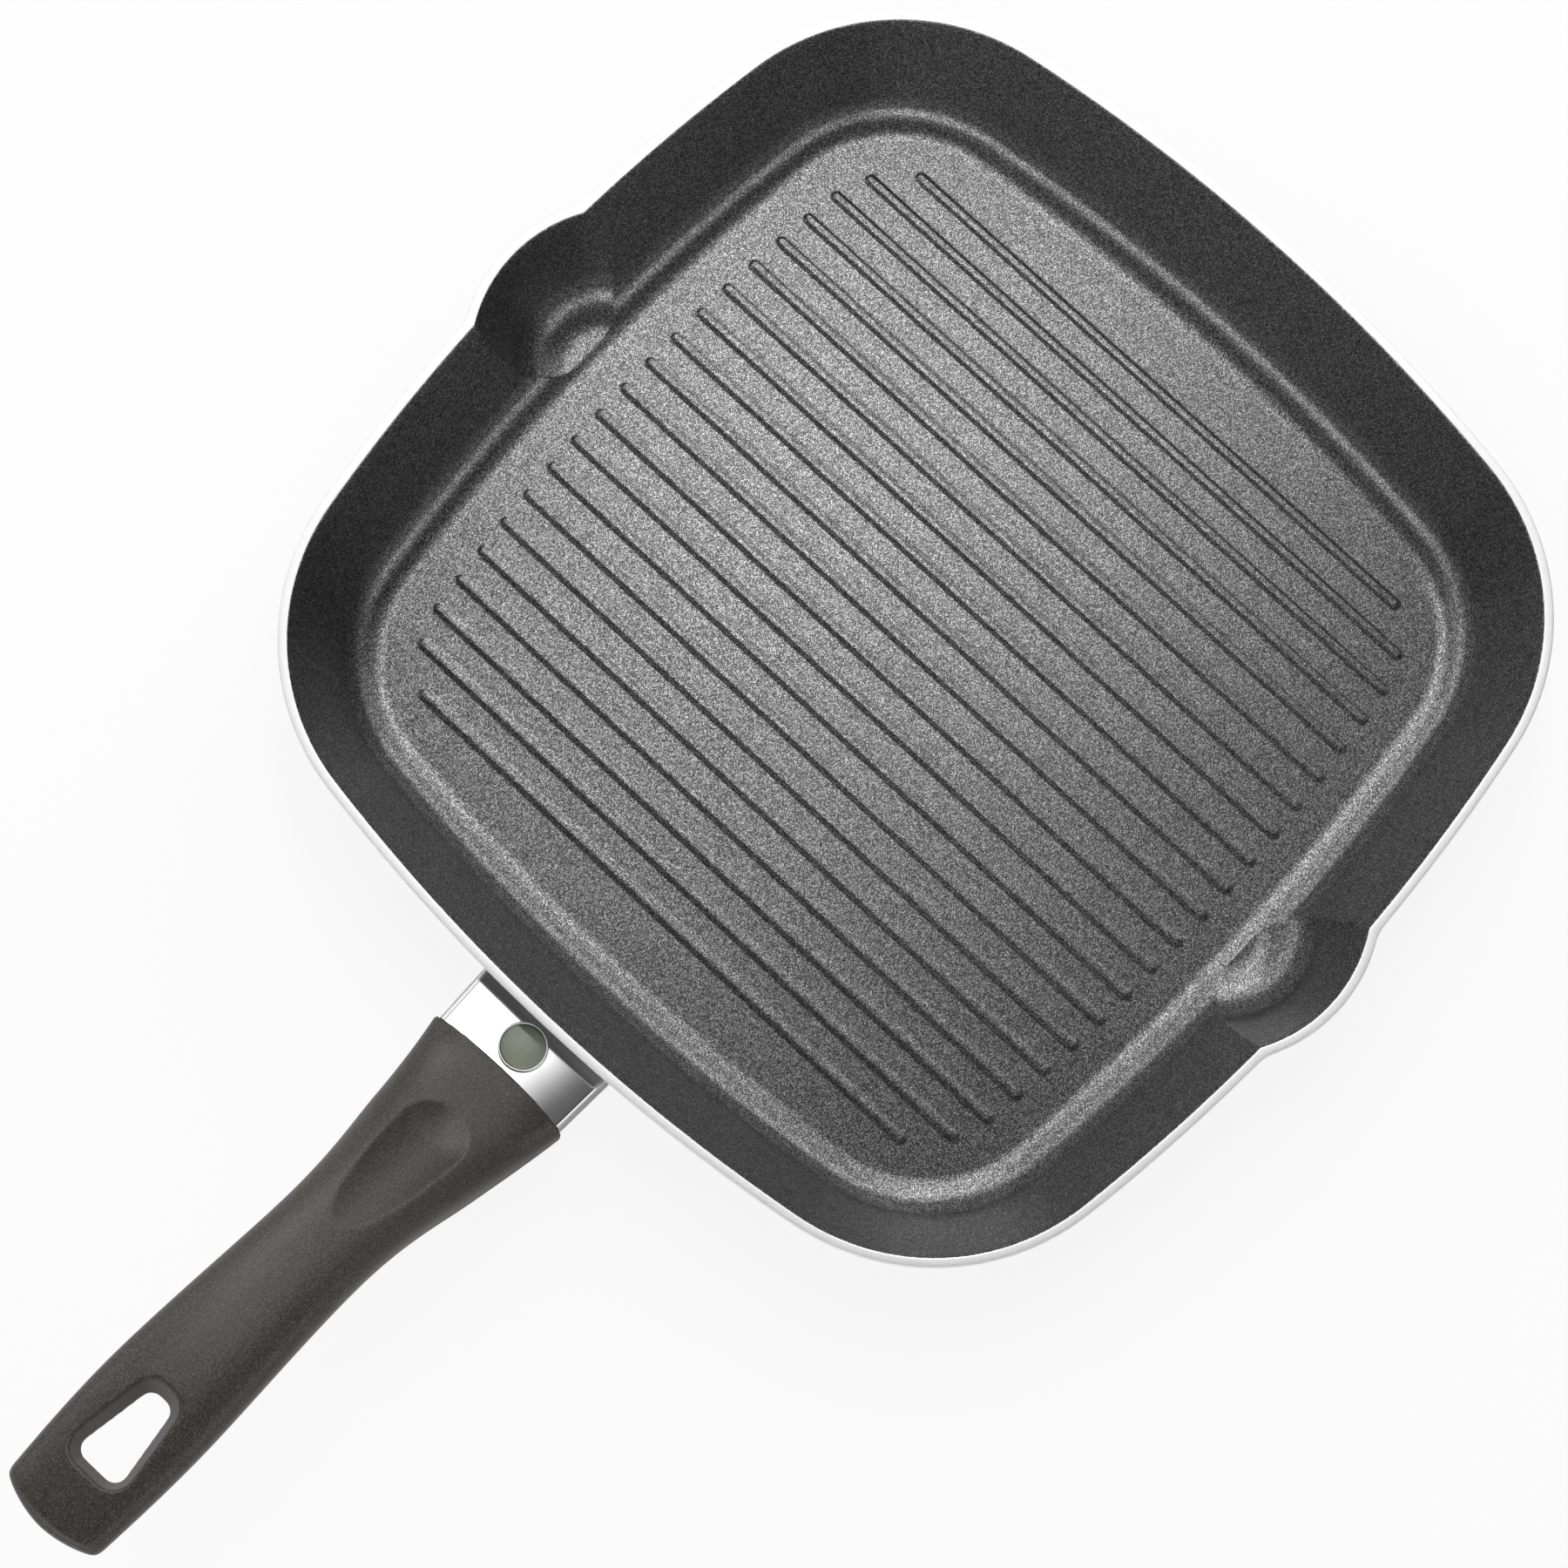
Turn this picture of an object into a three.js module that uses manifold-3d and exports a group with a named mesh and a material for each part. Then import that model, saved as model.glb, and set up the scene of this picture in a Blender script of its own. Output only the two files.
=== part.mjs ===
// Square grill pan: a pressed aluminium body with raised ribs and two pouring spouts, and a moulded
// handle screwed to a welded bracket behind a polished flame guard, which carries a heat indicator.
// Millimetres, +Z up. The origin is the middle of the base, on the surface that the pan stands on.
// The handle points along -X, the ribs run along Y, and the spouts are on the +Y and -Y sides.

import * as THREE from 'three';
import { mergeVertices } from 'three/addons/utils/BufferGeometryUtils.js';
import Module from 'manifold-3d';

const wasm = await Module();
wasm.setup();

const { degToRad, lerp } = THREE.MathUtils;

// Pan body
const RIM_HALF = 137; // centre to the inner edge of the rim, at the middle of a side
const RIM_SIDE_RADIUS = 514; // the sides are bowed slightly outwards
const RIM_CORNER_RADIUS = 60.8;
const RIM_HEIGHT = 40.5;
const RIM_EDGE = 0.8; // chamfer on the outer edge of the rim
const WALL_THICKNESS = 2.9; // measured level, as the rim shows it
const WALL_LEAN = degToRad(23.5); // from upright
const FLOOR_THICKNESS = 4.2;
const FLOOR_FILLET = 12;
const FLOOR_SIDE_RADIUS = 680; // the floor's sides are straighter than the rim's
const FLOOR_CORNER_RADIUS = 35.6;
const BASE_FILLET = 14;

// Pouring spouts: tapered pockets in the wall with a shelf just above the floor
const SPOUT_RIM_RADIUS = 40;
const SPOUT_RIM_BULGE = 5.25; // past the middle of the side, at the rim
const SPOUT_FOOT_RADIUS = 24.3;
const SPOUT_FOOT_INSET = 4.7; // from the inner edge of the rim back to the foot of the pocket
const SPOUT_SHELF_RISE = 0.9; // from the floor up to the shelf
const SPOUT_FILLET = 10;
const SPOUT_BLEND = 12; // outside fillet between a spout and its side

// Ribs
const RIB_PITCH = 9.7;
const RIB_WIDTH = 4.2;
const RIB_HEIGHT = 0.5;
const RIB_CROWN = 0.6; // width of the flat on top, between the rib's round flanks
const RIB_MARGIN = 7.25; // from the floor's edge to the tip of the middle rib
const RIB_END_MARGIN = 8; // kept free beyond the outermost rib
const RIB_FIELD_SIDE_RADIUS = 592; // the curve that the rib tips follow
const RIB_FIELD_CORNER_RADIUS = 28.8;

// Clearance between pieces that seat on each other
const GAP = 0.3;

// Flame guard: a drawn steel sleeve between the wall and the handle
const GUARD_LEVEL = 18.8; // where its axis meets the wall
const GUARD_TILT = degToRad(7.5);
const GUARD_REACH = 26.7; // from the wall to the front face of the handle, along the axis
const GUARD_WIDTH = 43.6; // at the wall
const GUARD_REAR_WIDTH = 41.6; // at the handle
const GUARD_THICKNESS = 16;
const GUARD_CORNER = 5;
const GUARD_SHEET = 0.9;

// Bracket welded to the wall inside the flame guard
const FOOT_THICKNESS = 3;
const FOOT_SIDE_ROOM = 6; // between the foot and the guard, at the sides
const FOOT_TOP_ROOM = 1.6; // above and below the foot
const TANG_WIDTH = 14;
const TANG_THICKNESS = 3;
const TANG_DEPTH = 15; // into the handle

// Heat indicator in the top of the flame guard
const INDICATOR_SETBACK = 9; // from its centre to the front face of the handle
const WINDOW_DIAMETER = 11.6;
const WINDOW_THICKNESS = 1;
const WINDOW_RECESS = 0.2; // below the top of the bezel
const DISC_THICKNESS = 0.6;
const BEZEL_WIDTH = 1.2;
const BEZEL_RISE = 0.8;
const BEZEL_BEVEL = 0.4; // on its outer edge
const BEZEL_SHEATH = 0.5; // wall of the bezel's neck
const SEAL_THICKNESS = 1;
const SEAL_WIDTH = 0.9;
const CONDUCTOR_THICKNESS = 1.2;
const CONDUCTOR_WIDTH = 10;

// Handle grip
const GRIP_SIDE_STEP = 1.55; // proud of the flame guard at the sides
const GRIP_TOP_STEP = 3; // proud of it above and below
const GRIP_SPIGOT = 6; // register that enters the flame guard
const GRIP_LENGTH = 155.1; // front face to tip, along the axis of the guard
const GRIP_RISE = 43.4; // tip above that axis
const GRIP_START_PULL = 30.8; // how long the handle keeps the direction of the guard
const GRIP_BEND_REACH = 47.7; // where the handle bends level again
const GRIP_BEND_RISE = 50.4;
const SHOULDER_REACH = 26;
const SHOULDER_WIDTH = 36.5;
const NECK_REACH = 59.7;
const NECK_WIDTH = 28.4;
const NECK_THICKNESS = 18.5;
const PALM_REACH = 118.3;
const PALM_WIDTH = 32;
const PALM_THICKNESS = 16;
const END_WIDTH = 28.6;
const END_THICKNESS = 13;
const END_RADIUS = 30; // plan radius of the blunt end
const END_CORNER = 2; // rounding between the blunt end and the sides
const END_EDGE = 4; // rounding of the blunt end seen from the side
const FRONT_SQUARENESS = 3.4; // 2 is an ellipse, more is squarer
const PALM_SQUARENESS = 2.6;

// Thumb scoop: a round-nosed cut that fades out along the handle
const SCOOP_RADIUS = 19.5;
const SCOOP_DEPTH = 3;
const SCOOP_REACH = 28.6; // from the front face to the middle of its round nose
const SCOOP_LENGTH = 60;
const SCOOP_TILT = degToRad(4);

// Hanging hole: a rounded wedge, narrowest at the middle of the handle's thickness
const HOLE_SETBACK = 28.9; // from the tip to the middle of the hole
const HOLE_LENGTH = 22;
const HOLE_NARROW = 8;
const HOLE_WIDE = 13;
const HOLE_CORNER = 3;
const HOLE_DRAFT = degToRad(20);

// Handle screw and its washers
const SCREW_DIAMETER = 5;
const SCREW_SETBACK = 8.5; // behind the front face of the handle
const SCREW_SEAT = 2.2; // material between the tang and the washer
const SCREW_OVERRUN = 1; // above the tang
const SCREW_HEAD_DIAMETER = 8.6;
const SCREW_HEAD = 2.4;
const SCREW_HEAD_EDGE = 1.1;
const SCREW_TIP_EDGE = 0.8;
const CROSS_SLOT = 1.1;
const CROSS_LENGTH = 5;
const CROSS_DEPTH = 1.3;
const WASHER_DIAMETER = 9.2;
const WASHER_THICKNESS = 0.8;
const SPRING_DIAMETER = 8.4;
const SPRING_THICKNESS = 1;
const SPRING_SPLIT = 0.8;
const SPRING_SPLIT_ANGLE = degToRad(60);

// Facets
const SIDE_STEPS = 4;
const CORNER_STEPS = 8;
const BLEND_STEPS = 3;
const SPOUT_STEPS = 6;
const RIB_FLANK_STEPS = 3;
const TURN_STEPS = 5; // in a rounded corner
const ROUND_STEPS = 32; // in a whole turn
const GRIP_STEPS = 20;
const GRIP_SECTION_STEPS = 32;
const END_STEPS = 6;
const SCOOP_CAP_STEPS = 14;
const SCOOP_STEPS = 56;
const SOLVE_STEPS = 40; // halvings when a place on a curve is looked up
const OVERSHOOT = 4; // how far a cutter runs past what it cuts

// Solids and meshes

function toSolid(geometry) {
  const plain = geometry.clone();
  plain.deleteAttribute('normal');
  plain.deleteAttribute('uv');
  const merged = mergeVertices(plain);
  const index = merged.index.array;
  const kept = [];
  for (let i = 0; i < index.length; i += 3) {
    const [a, b, c] = [index[i], index[i + 1], index[i + 2]];
    if (a !== b && b !== c && c !== a) kept.push(a, b, c);
  }
  return new wasm.Manifold(new wasm.Mesh({
    numProp: 3,
    vertProperties: new Float32Array(merged.attributes.position.array),
    triVerts: new Uint32Array(kept),
  }));
}

function toGeometry(solid) {
  const { vertProperties, triVerts } = solid.getMesh();
  const geometry = new THREE.BufferGeometry();
  geometry.setAttribute('position', new THREE.BufferAttribute(vertProperties, 3));
  geometry.setIndex(new THREE.BufferAttribute(triVerts, 1));
  geometry.computeVertexNormals();
  return geometry;
}

// A closed skin through rings of equal length, the first and last closed by a fan.
// Rings run anticlockwise seen from the side that the last ring faces.
function loft(rings) {
  const count = rings[0].length;
  const positions = rings.flat().flatMap((p) => [p.x, p.y, p.z]);
  const index = [];
  for (let r = 0; r + 1 < rings.length; r++) {
    for (let i = 0; i < count; i++) {
      const a = r * count + i;
      const b = r * count + ((i + 1) % count);
      index.push(a, b, b + count, a, b + count, a + count);
    }
  }
  const close = (r, flip) => {
    const centre = rings[r].reduce((sum, p) => sum.add(p), new THREE.Vector3()).divideScalar(count);
    const middle = positions.length / 3;
    positions.push(centre.x, centre.y, centre.z);
    for (let i = 0; i < count; i++) {
      const a = r * count + i;
      const b = r * count + ((i + 1) % count);
      index.push(middle, ...(flip ? [b, a] : [a, b]));
    }
  };
  close(0, true);
  close(rings.length - 1, false);
  const geometry = new THREE.BufferGeometry();
  geometry.setAttribute('position', new THREE.Float32BufferAttribute(positions, 3));
  geometry.setIndex(index);
  return geometry;
}

// A turned piece round the local Z axis from [radius, height] points
function turned(points, steps = ROUND_STEPS) {
  const profile = points.map(([radius, height]) => new THREE.Vector2(radius, height));
  return new THREE.LatheGeometry(profile, steps).rotateX(Math.PI / 2);
}

function turnedRod(radius, bottom, top) {
  return turned([[0, bottom], [radius, bottom], [radius, top], [0, top]]);
}

function turnedRing(inner, outer, bottom, top) {
  return turned([[inner, bottom], [outer, bottom], [outer, top], [inner, top], [inner, bottom]]);
}

function block(x0, x1, y0, y1, z0, z1) {
  const box = new THREE.BoxGeometry(x1 - x0, y1 - y0, z1 - z0);
  return box.translate((x0 + x1) / 2, (y0 + y1) / 2, (z0 + z1) / 2);
}

// A bar along the X axis
function bar(from, to, halfWidth, halfHeight) {
  return block(from, to, -halfWidth, halfWidth, -halfHeight, halfHeight);
}

// A convex polygon, anticlockwise, with every corner rounded outwards by the same radius
function roundedPolygon(corners, radius, steps = TURN_STEPS) {
  const points = [];
  corners.forEach(([x, y], i) => {
    const [px, py] = corners.at(i - 1);
    const [nx, ny] = corners[(i + 1) % corners.length];
    const from = Math.atan2(y - py, x - px) - Math.PI / 2;
    const turn = Math.atan2(ny - y, nx - x) - Math.PI / 2 - from;
    const sweep = (turn + 4 * Math.PI) % (2 * Math.PI);
    for (let s = 0; s <= steps; s++) {
      const angle = from + (sweep * s) / steps;
      points.push([x + radius * Math.cos(angle), y + radius * Math.sin(angle)]);
    }
  });
  return points;
}

// The other short side of a right-angled triangle
function otherLeg(hypotenuse, leg) {
  return Math.sqrt(Math.max(hypotenuse ** 2 - leg ** 2, 0));
}

// Plan outline of the pan

// A square with bowed sides and round corners. `half` is the centre to the middle of a side.
function squareOutline(half, sideRadius, cornerRadius) {
  const sideCentre = half - sideRadius;
  const span = sideRadius - cornerRadius;
  const cornerCentre = (sideCentre + Math.sqrt(2 * span ** 2 - sideCentre ** 2)) / 2;
  const joint = Math.atan2(cornerCentre, cornerCentre - sideCentre);
  return { sideRadius, cornerRadius, sideCentre, cornerCentre, joint };
}

// How far in from the rim a face of the wall meets its floor
function footInset(floor, outset, fillet) {
  const corner = (RIM_HEIGHT - floor) * Math.tan(WALL_LEAN) - outset;
  return corner + fillet * Math.tan((Math.PI / 2 - WALL_LEAN) / 2);
}

const FLOOR_INSET = footInset(FLOOR_THICKNESS, 0, FLOOR_FILLET);

// The pan's inside, a given distance in from the rim
function planAt(inset) {
  const share = inset / FLOOR_INSET;
  return squareOutline(
    RIM_HALF - inset,
    lerp(RIM_SIDE_RADIUS, FLOOR_SIDE_RADIUS, share),
    lerp(RIM_CORNER_RADIUS, FLOOR_CORNER_RADIUS, share),
  );
}

// One face of the pan's wall, inside or outside: its inset from the rim and its spouts by height
function wallFace({ floor, outset, fillet, spoutFillet, blend, spouts = true }) {
  const floorInset = footInset(floor, outset, fillet);
  const filletTop = floor + fillet * (1 - Math.sin(WALL_LEAN));

  const shelf = floor + SPOUT_SHELF_RISE;
  const rimReach = RIM_HALF + SPOUT_RIM_BULGE + outset;
  const footReach = RIM_HALF - SPOUT_FOOT_INSET + outset;
  const footRadius = SPOUT_FOOT_RADIUS + outset;
  const steepness = Math.atan2(RIM_HEIGHT - shelf, rimReach - footReach);
  const footTop = shelf + spoutFillet * (1 - Math.cos(steepness));

  function inset(z) {
    if (z >= filletTop) return (RIM_HEIGHT - z) * Math.tan(WALL_LEAN) - outset;
    return floorInset - otherLeg(fillet, fillet - z + floor);
  }

  const outline = (z) => planAt(inset(z) + outset);

  // The pocket is round at every height
  function spoutCircle(z) {
    if (z >= footTop) {
      const share = (z - footTop) / (RIM_HEIGHT - footTop);
      const radius = lerp(footRadius, SPOUT_RIM_RADIUS + outset, share);
      return { radius, centre: lerp(footReach, rimReach, share) - radius };
    }
    const level = otherLeg(spoutFillet, spoutFillet - z + shelf);
    const radius = footRadius - spoutFillet * Math.sin(steepness) + level;
    return { radius, centre: footReach - footRadius };
  }

  // Where the pocket runs out into the side, with a fillet in the notch between them
  function spoutEdge(z) {
    const { radius, centre } = spoutCircle(z);
    const { sideRadius, sideCentre } = outline(z);
    const side = sideRadius + outset + blend;
    const apart = centre - sideCentre;
    const along = (side ** 2 - (radius + blend) ** 2 + apart ** 2) / (2 * apart);
    const across = otherLeg(side, along);
    return {
      radius,
      centre,
      notch: [across, sideCentre + along],
      sideAngle: Math.atan2(across, along),
      spoutAngle: Math.atan2(across, along - apart),
    };
  }

  const shelfAngle = spouts ? spoutEdge(shelf).sideAngle : outline(shelf).joint / 2;

  // A quarter of the outline at one height, from the +X side to the middle of the +Y side
  function quarter(z, extraInset, open) {
    const plan = outline(z);
    const sideRadius = plan.sideRadius + outset - extraInset;
    const cornerRadius = plan.cornerRadius + outset - extraInset;
    const edge = open ? spoutEdge(z) : { sideAngle: shelfAngle };
    const points = [];
    for (let i = 0; i < SIDE_STEPS; i++) {
      const angle = (plan.joint * i) / SIDE_STEPS;
      points.push([plan.sideCentre + sideRadius * Math.cos(angle), sideRadius * Math.sin(angle)]);
    }
    for (let i = 0; i < CORNER_STEPS; i++) {
      const angle = lerp(plan.joint, Math.PI / 2 - plan.joint, i / CORNER_STEPS);
      points.push([
        plan.cornerCentre + cornerRadius * Math.cos(angle),
        plan.cornerCentre + cornerRadius * Math.sin(angle),
      ]);
    }
    for (let i = 0; i < SIDE_STEPS; i++) {
      const angle = lerp(plan.joint, edge.sideAngle, i / SIDE_STEPS);
      points.push([sideRadius * Math.sin(angle), plan.sideCentre + sideRadius * Math.cos(angle)]);
    }
    const spoutSteps = BLEND_STEPS + SPOUT_STEPS;
    for (let i = 0; i <= spoutSteps; i++) {
      if (!open) {
        const angle = edge.sideAngle * (1 - i / spoutSteps);
        points.push([sideRadius * Math.sin(angle), plan.sideCentre + sideRadius * Math.cos(angle)]);
      } else if (i < BLEND_STEPS) {
        const angle = lerp(edge.sideAngle, edge.spoutAngle, i / BLEND_STEPS);
        const radius = blend + extraInset;
        points.push([
          edge.notch[0] - radius * Math.sin(angle),
          edge.notch[1] - radius * Math.cos(angle),
        ]);
      } else {
        const angle = edge.spoutAngle * (1 - (i - BLEND_STEPS) / SPOUT_STEPS);
        const radius = edge.radius - extraInset;
        points.push([radius * Math.sin(angle), edge.centre + radius * Math.cos(angle)]);
      }
    }
    return points;
  }

  // The whole outline, anticlockwise from above
  function ring(z, { extraInset = 0, open = true } = {}) {
    const first = quarter(z, extraInset, open);
    const inner = first.slice(1, -1);
    const second = inner.map(([x, y]) => [-x, y]).reverse();
    const upper = [...first, ...second];
    const lower = upper.map(([x, y]) => [-x, -y]);
    return [...upper, ...lower].map(([x, y]) => new THREE.Vector3(x, y, z));
  }

  // Rings from the floor up to the rim. The shelf has two: its front edge and its round back.
  function rings() {
    const rise = (share) => shelf + spoutFillet * (1 - Math.cos(steepness * share));
    const middle = (filletTop + RIM_HEIGHT) / 2;
    const above = [rise(1 / 3), rise(2 / 3), footTop, filletTop, middle, RIM_HEIGHT];
    above.sort((a, b) => a - b);
    return [
      ...[floor, floor + SPOUT_SHELF_RISE / 3, shelf].map((z) => ring(z, { open: false })),
      ...(spouts ? [ring(shelf)] : []),
      ...above.map((z) => ring(z, { open: spouts })),
    ];
  }

  return { floorInset, ring, rings };
}

const INSIDE = wallFace({
  floor: FLOOR_THICKNESS,
  outset: 0,
  fillet: FLOOR_FILLET,
  spoutFillet: SPOUT_FILLET,
  blend: 0,
});

const OUTSIDE = wallFace({
  floor: 0,
  outset: WALL_THICKNESS,
  fillet: BASE_FILLET,
  spoutFillet: SPOUT_FILLET + WALL_THICKNESS,
  blend: SPOUT_BLEND,
});

// The pan's outer form without spouts as a solid block, grown by a clearance, to trim what stands
// on the wall
function panBlock(clearance) {
  const face = wallFace({
    floor: -clearance,
    outset: WALL_THICKNESS + clearance,
    fillet: BASE_FILLET,
    spoutFillet: SPOUT_FILLET,
    blend: 0,
    spouts: false,
  });
  return toSolid(loft(face.rings()));
}

// Pan body

function ribSolid(halfLength) {
  const end = halfLength - RIB_WIDTH / 2;
  const run = (RIB_WIDTH - RIB_CROWN) / 2;
  const slope = 2 * Math.atan2(RIB_HEIGHT, run);
  const radius = run / Math.sin(slope);
  const profile = [[0, -FLOOR_THICKNESS / 2]];
  for (let i = 0; i <= RIB_FLANK_STEPS; i++) {
    const angle = slope * (1 - i / RIB_FLANK_STEPS);
    profile.push([run - radius * Math.sin(angle), RIB_HEIGHT - radius * (1 - Math.cos(angle))]);
  }
  const rings = profile.map(([inset, z]) => {
    const outline = roundedPolygon([[0, -end], [0, end]], RIB_WIDTH / 2 - inset);
    return outline.map(([x, y]) => new THREE.Vector3(x, y, z));
  });
  return toSolid(loft(rings));
}

function ribField() {
  const half = RIM_HALF - INSIDE.floorInset - RIB_MARGIN;
  const field = squareOutline(half, RIB_FIELD_SIDE_RADIUS, RIB_FIELD_CORNER_RADIUS);
  const sideEnd = field.sideRadius * Math.sin(field.joint);
  const perSide = Math.floor((half - RIB_END_MARGIN) / RIB_PITCH);
  const ribs = [];
  for (let i = -perSide; i <= perSide; i++) {
    const x = i * RIB_PITCH;
    const onSide = Math.abs(x) < sideEnd;
    const halfLength = onSide
      ? field.sideCentre + otherLeg(field.sideRadius, x)
      : field.cornerCentre + otherLeg(field.cornerRadius, Math.abs(x) - field.cornerCentre);
    ribs.push(ribSolid(halfLength).translate([x, 0, FLOOR_THICKNESS]));
  }
  return ribs;
}

function panBody() {
  const wall = OUTSIDE.rings().slice(0, -1);
  const edge = OUTSIDE.ring(RIM_HEIGHT - RIM_EDGE);
  const rim = OUTSIDE.ring(RIM_HEIGHT, { extraInset: RIM_EDGE });
  const shell = loft([...wall, edge, rim, ...INSIDE.rings().reverse()]);
  return ribField().reduce((body, rib) => body.add(rib), toSolid(shell));
}

// Handle frame: X runs out along the axis of the flame guard, Z is square to its top

const wallAtAxis = RIM_HALF + WALL_THICKNESS - (RIM_HEIGHT - GUARD_LEVEL) * Math.tan(WALL_LEAN);
const handleMatrix = new THREE.Matrix4().makeBasis(
  new THREE.Vector3(-Math.cos(GUARD_TILT), 0, Math.sin(GUARD_TILT)),
  new THREE.Vector3(0, -1, 0),
  new THREE.Vector3(Math.sin(GUARD_TILT), 0, Math.cos(GUARD_TILT)),
);
handleMatrix.setPosition(-wallAtAxis, 0, GUARD_LEVEL);
const toHandle = handleMatrix.clone().invert();

function wallBlock(clearance) {
  return toSolid(toGeometry(panBlock(clearance)).applyMatrix4(toHandle));
}

// Where a piece in this frame starts, so that its whole end lies inside the wall's outline
const WALL_START = -(GUARD_THICKNESS / 2) * Math.tan(WALL_LEAN + GUARD_TILT) - OVERSHOOT;

// Levels and radii of the indicator, from the tang up
const GUARD_TOP = GUARD_THICKNESS / 2;
const BAR_BOTTOM = TANG_THICKNESS / 2 + GAP;
const BAR_TOP = BAR_BOTTOM + CONDUCTOR_THICKNESS;
const BEZEL_BOTTOM = GUARD_TOP + GAP;
const BEZEL_TOP = BEZEL_BOTTOM + BEZEL_RISE;
const WINDOW_TOP = BEZEL_TOP - WINDOW_RECESS;
const WINDOW_BOTTOM = WINDOW_TOP - WINDOW_THICKNESS;
const DISC_TOP = WINDOW_BOTTOM - GAP;
const DISC_BOTTOM = DISC_TOP - DISC_THICKNESS;
const HEAD_TOP = DISC_BOTTOM - GAP;
const HEAD_BOTTOM = BAR_TOP + SEAL_THICKNESS + 2 * GAP;
const WINDOW_RADIUS = WINDOW_DIAMETER / 2;
const BEZEL_BORE = WINDOW_RADIUS + GAP;
const BEZEL_NECK = BEZEL_BORE + BEZEL_SHEATH;
const INDICATOR_X = GUARD_REACH - INDICATOR_SETBACK;

// Flame guard

function guardRing(x, inset) {
  const width = lerp(GUARD_WIDTH, GUARD_REAR_WIDTH, x / GUARD_REACH) / 2 - GUARD_CORNER;
  const height = GUARD_THICKNESS / 2 - GUARD_CORNER;
  const corners = [[-width, -height], [width, -height], [width, height], [-width, height]];
  const outline = roundedPolygon(corners, GUARD_CORNER - inset);
  return outline.map(([y, z]) => new THREE.Vector3(x, y, z));
}

function flameGuard() {
  const rear = GUARD_REACH - GAP;
  const outer = loft([guardRing(WALL_START, 0), guardRing(rear, 0)]);
  const inner = loft([
    guardRing(WALL_START - OVERSHOOT, GUARD_SHEET),
    guardRing(rear + OVERSHOOT, GUARD_SHEET),
  ]);
  const hole = turnedRod(BEZEL_NECK + GAP, 0, GUARD_TOP + OVERSHOOT);
  hole.translate(INDICATOR_X, 0, 0);
  const sleeve = toSolid(outer).subtract(toSolid(inner));
  return sleeve.subtract(toSolid(hole)).subtract(wallBlock(GAP));
}

// Bracket

function handleBracket() {
  const footWidth = GUARD_REAR_WIDTH / 2 - GUARD_SHEET - FOOT_SIDE_ROOM;
  const footHeight = GUARD_THICKNESS / 2 - GUARD_SHEET - FOOT_TOP_ROOM;
  const blank = bar(WALL_START, -WALL_START, footWidth, footHeight);
  const foot = toSolid(blank).intersect(wallBlock(GAP + FOOT_THICKNESS));
  const tang = bar(WALL_START / 2, GUARD_REACH + TANG_DEPTH, TANG_WIDTH / 2, TANG_THICKNESS / 2);
  const bore = turnedRod(SCREW_DIAMETER / 2 + GAP, -TANG_THICKNESS, TANG_THICKNESS);
  bore.translate(GUARD_REACH + SCREW_SETBACK, 0, 0);
  return foot.add(toSolid(tang)).subtract(wallBlock(GAP)).subtract(toSolid(bore));
}

// Heat indicator

function heatConductor() {
  const half = CONDUCTOR_WIDTH / 2;
  const strip = toSolid(block(WALL_START, INDICATOR_X, -half, half, BAR_BOTTOM, BAR_TOP));
  const neck = WINDOW_RADIUS - SEAL_WIDTH - GAP;
  const head = turned([
    [0, BAR_BOTTOM],
    [half, BAR_BOTTOM],
    [half, BAR_TOP],
    [neck, BAR_TOP],
    [neck, HEAD_BOTTOM],
    [WINDOW_RADIUS, HEAD_BOTTOM],
    [WINDOW_RADIUS, HEAD_TOP],
    [0, HEAD_TOP],
  ]);
  const behindFoot = wallBlock(2 * GAP + FOOT_THICKNESS);
  return strip.subtract(behindFoot).add(toSolid(head.translate(INDICATOR_X, 0, 0)));
}

function indicatorBezel() {
  return turned([
    [BEZEL_BORE, BAR_TOP + GAP],
    [BEZEL_NECK, BAR_TOP + GAP],
    [BEZEL_NECK, BEZEL_BOTTOM],
    [BEZEL_BORE + BEZEL_WIDTH, BEZEL_BOTTOM],
    [BEZEL_BORE + BEZEL_WIDTH, BEZEL_TOP - BEZEL_BEVEL],
    [BEZEL_BORE + BEZEL_WIDTH - BEZEL_BEVEL, BEZEL_TOP],
    [BEZEL_BORE, BEZEL_TOP],
    [BEZEL_BORE, BAR_TOP + GAP],
  ]);
}

// Handle grip

const GRIP_CURVE = new THREE.CubicBezierCurve3(
  new THREE.Vector3(GUARD_REACH, 0, 0),
  new THREE.Vector3(GUARD_REACH + GRIP_START_PULL, 0, 0),
  new THREE.Vector3(GUARD_REACH + GRIP_BEND_REACH, 0, GRIP_BEND_RISE),
  new THREE.Vector3(GUARD_REACH + GRIP_LENGTH, 0, GRIP_RISE),
);
const FRONT_WIDTH = GUARD_REAR_WIDTH + 2 * GRIP_SIDE_STEP;
const FRONT_THICKNESS = GUARD_THICKNESS + 2 * GRIP_TOP_STEP;

const spline = (points) => new THREE.SplineCurve(points.map(([x, y]) => new THREE.Vector2(x, y)));
const GRIP_WIDTHS = spline([
  [0, FRONT_WIDTH],
  [SHOULDER_REACH, SHOULDER_WIDTH],
  [NECK_REACH, NECK_WIDTH],
  [PALM_REACH, PALM_WIDTH],
  [GRIP_LENGTH, END_WIDTH],
]);
const GRIP_THICKNESSES = spline([
  [0, FRONT_THICKNESS],
  [NECK_REACH, NECK_THICKNESS],
  [PALM_REACH, PALM_THICKNESS],
  [GRIP_LENGTH, END_THICKNESS],
]);

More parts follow.
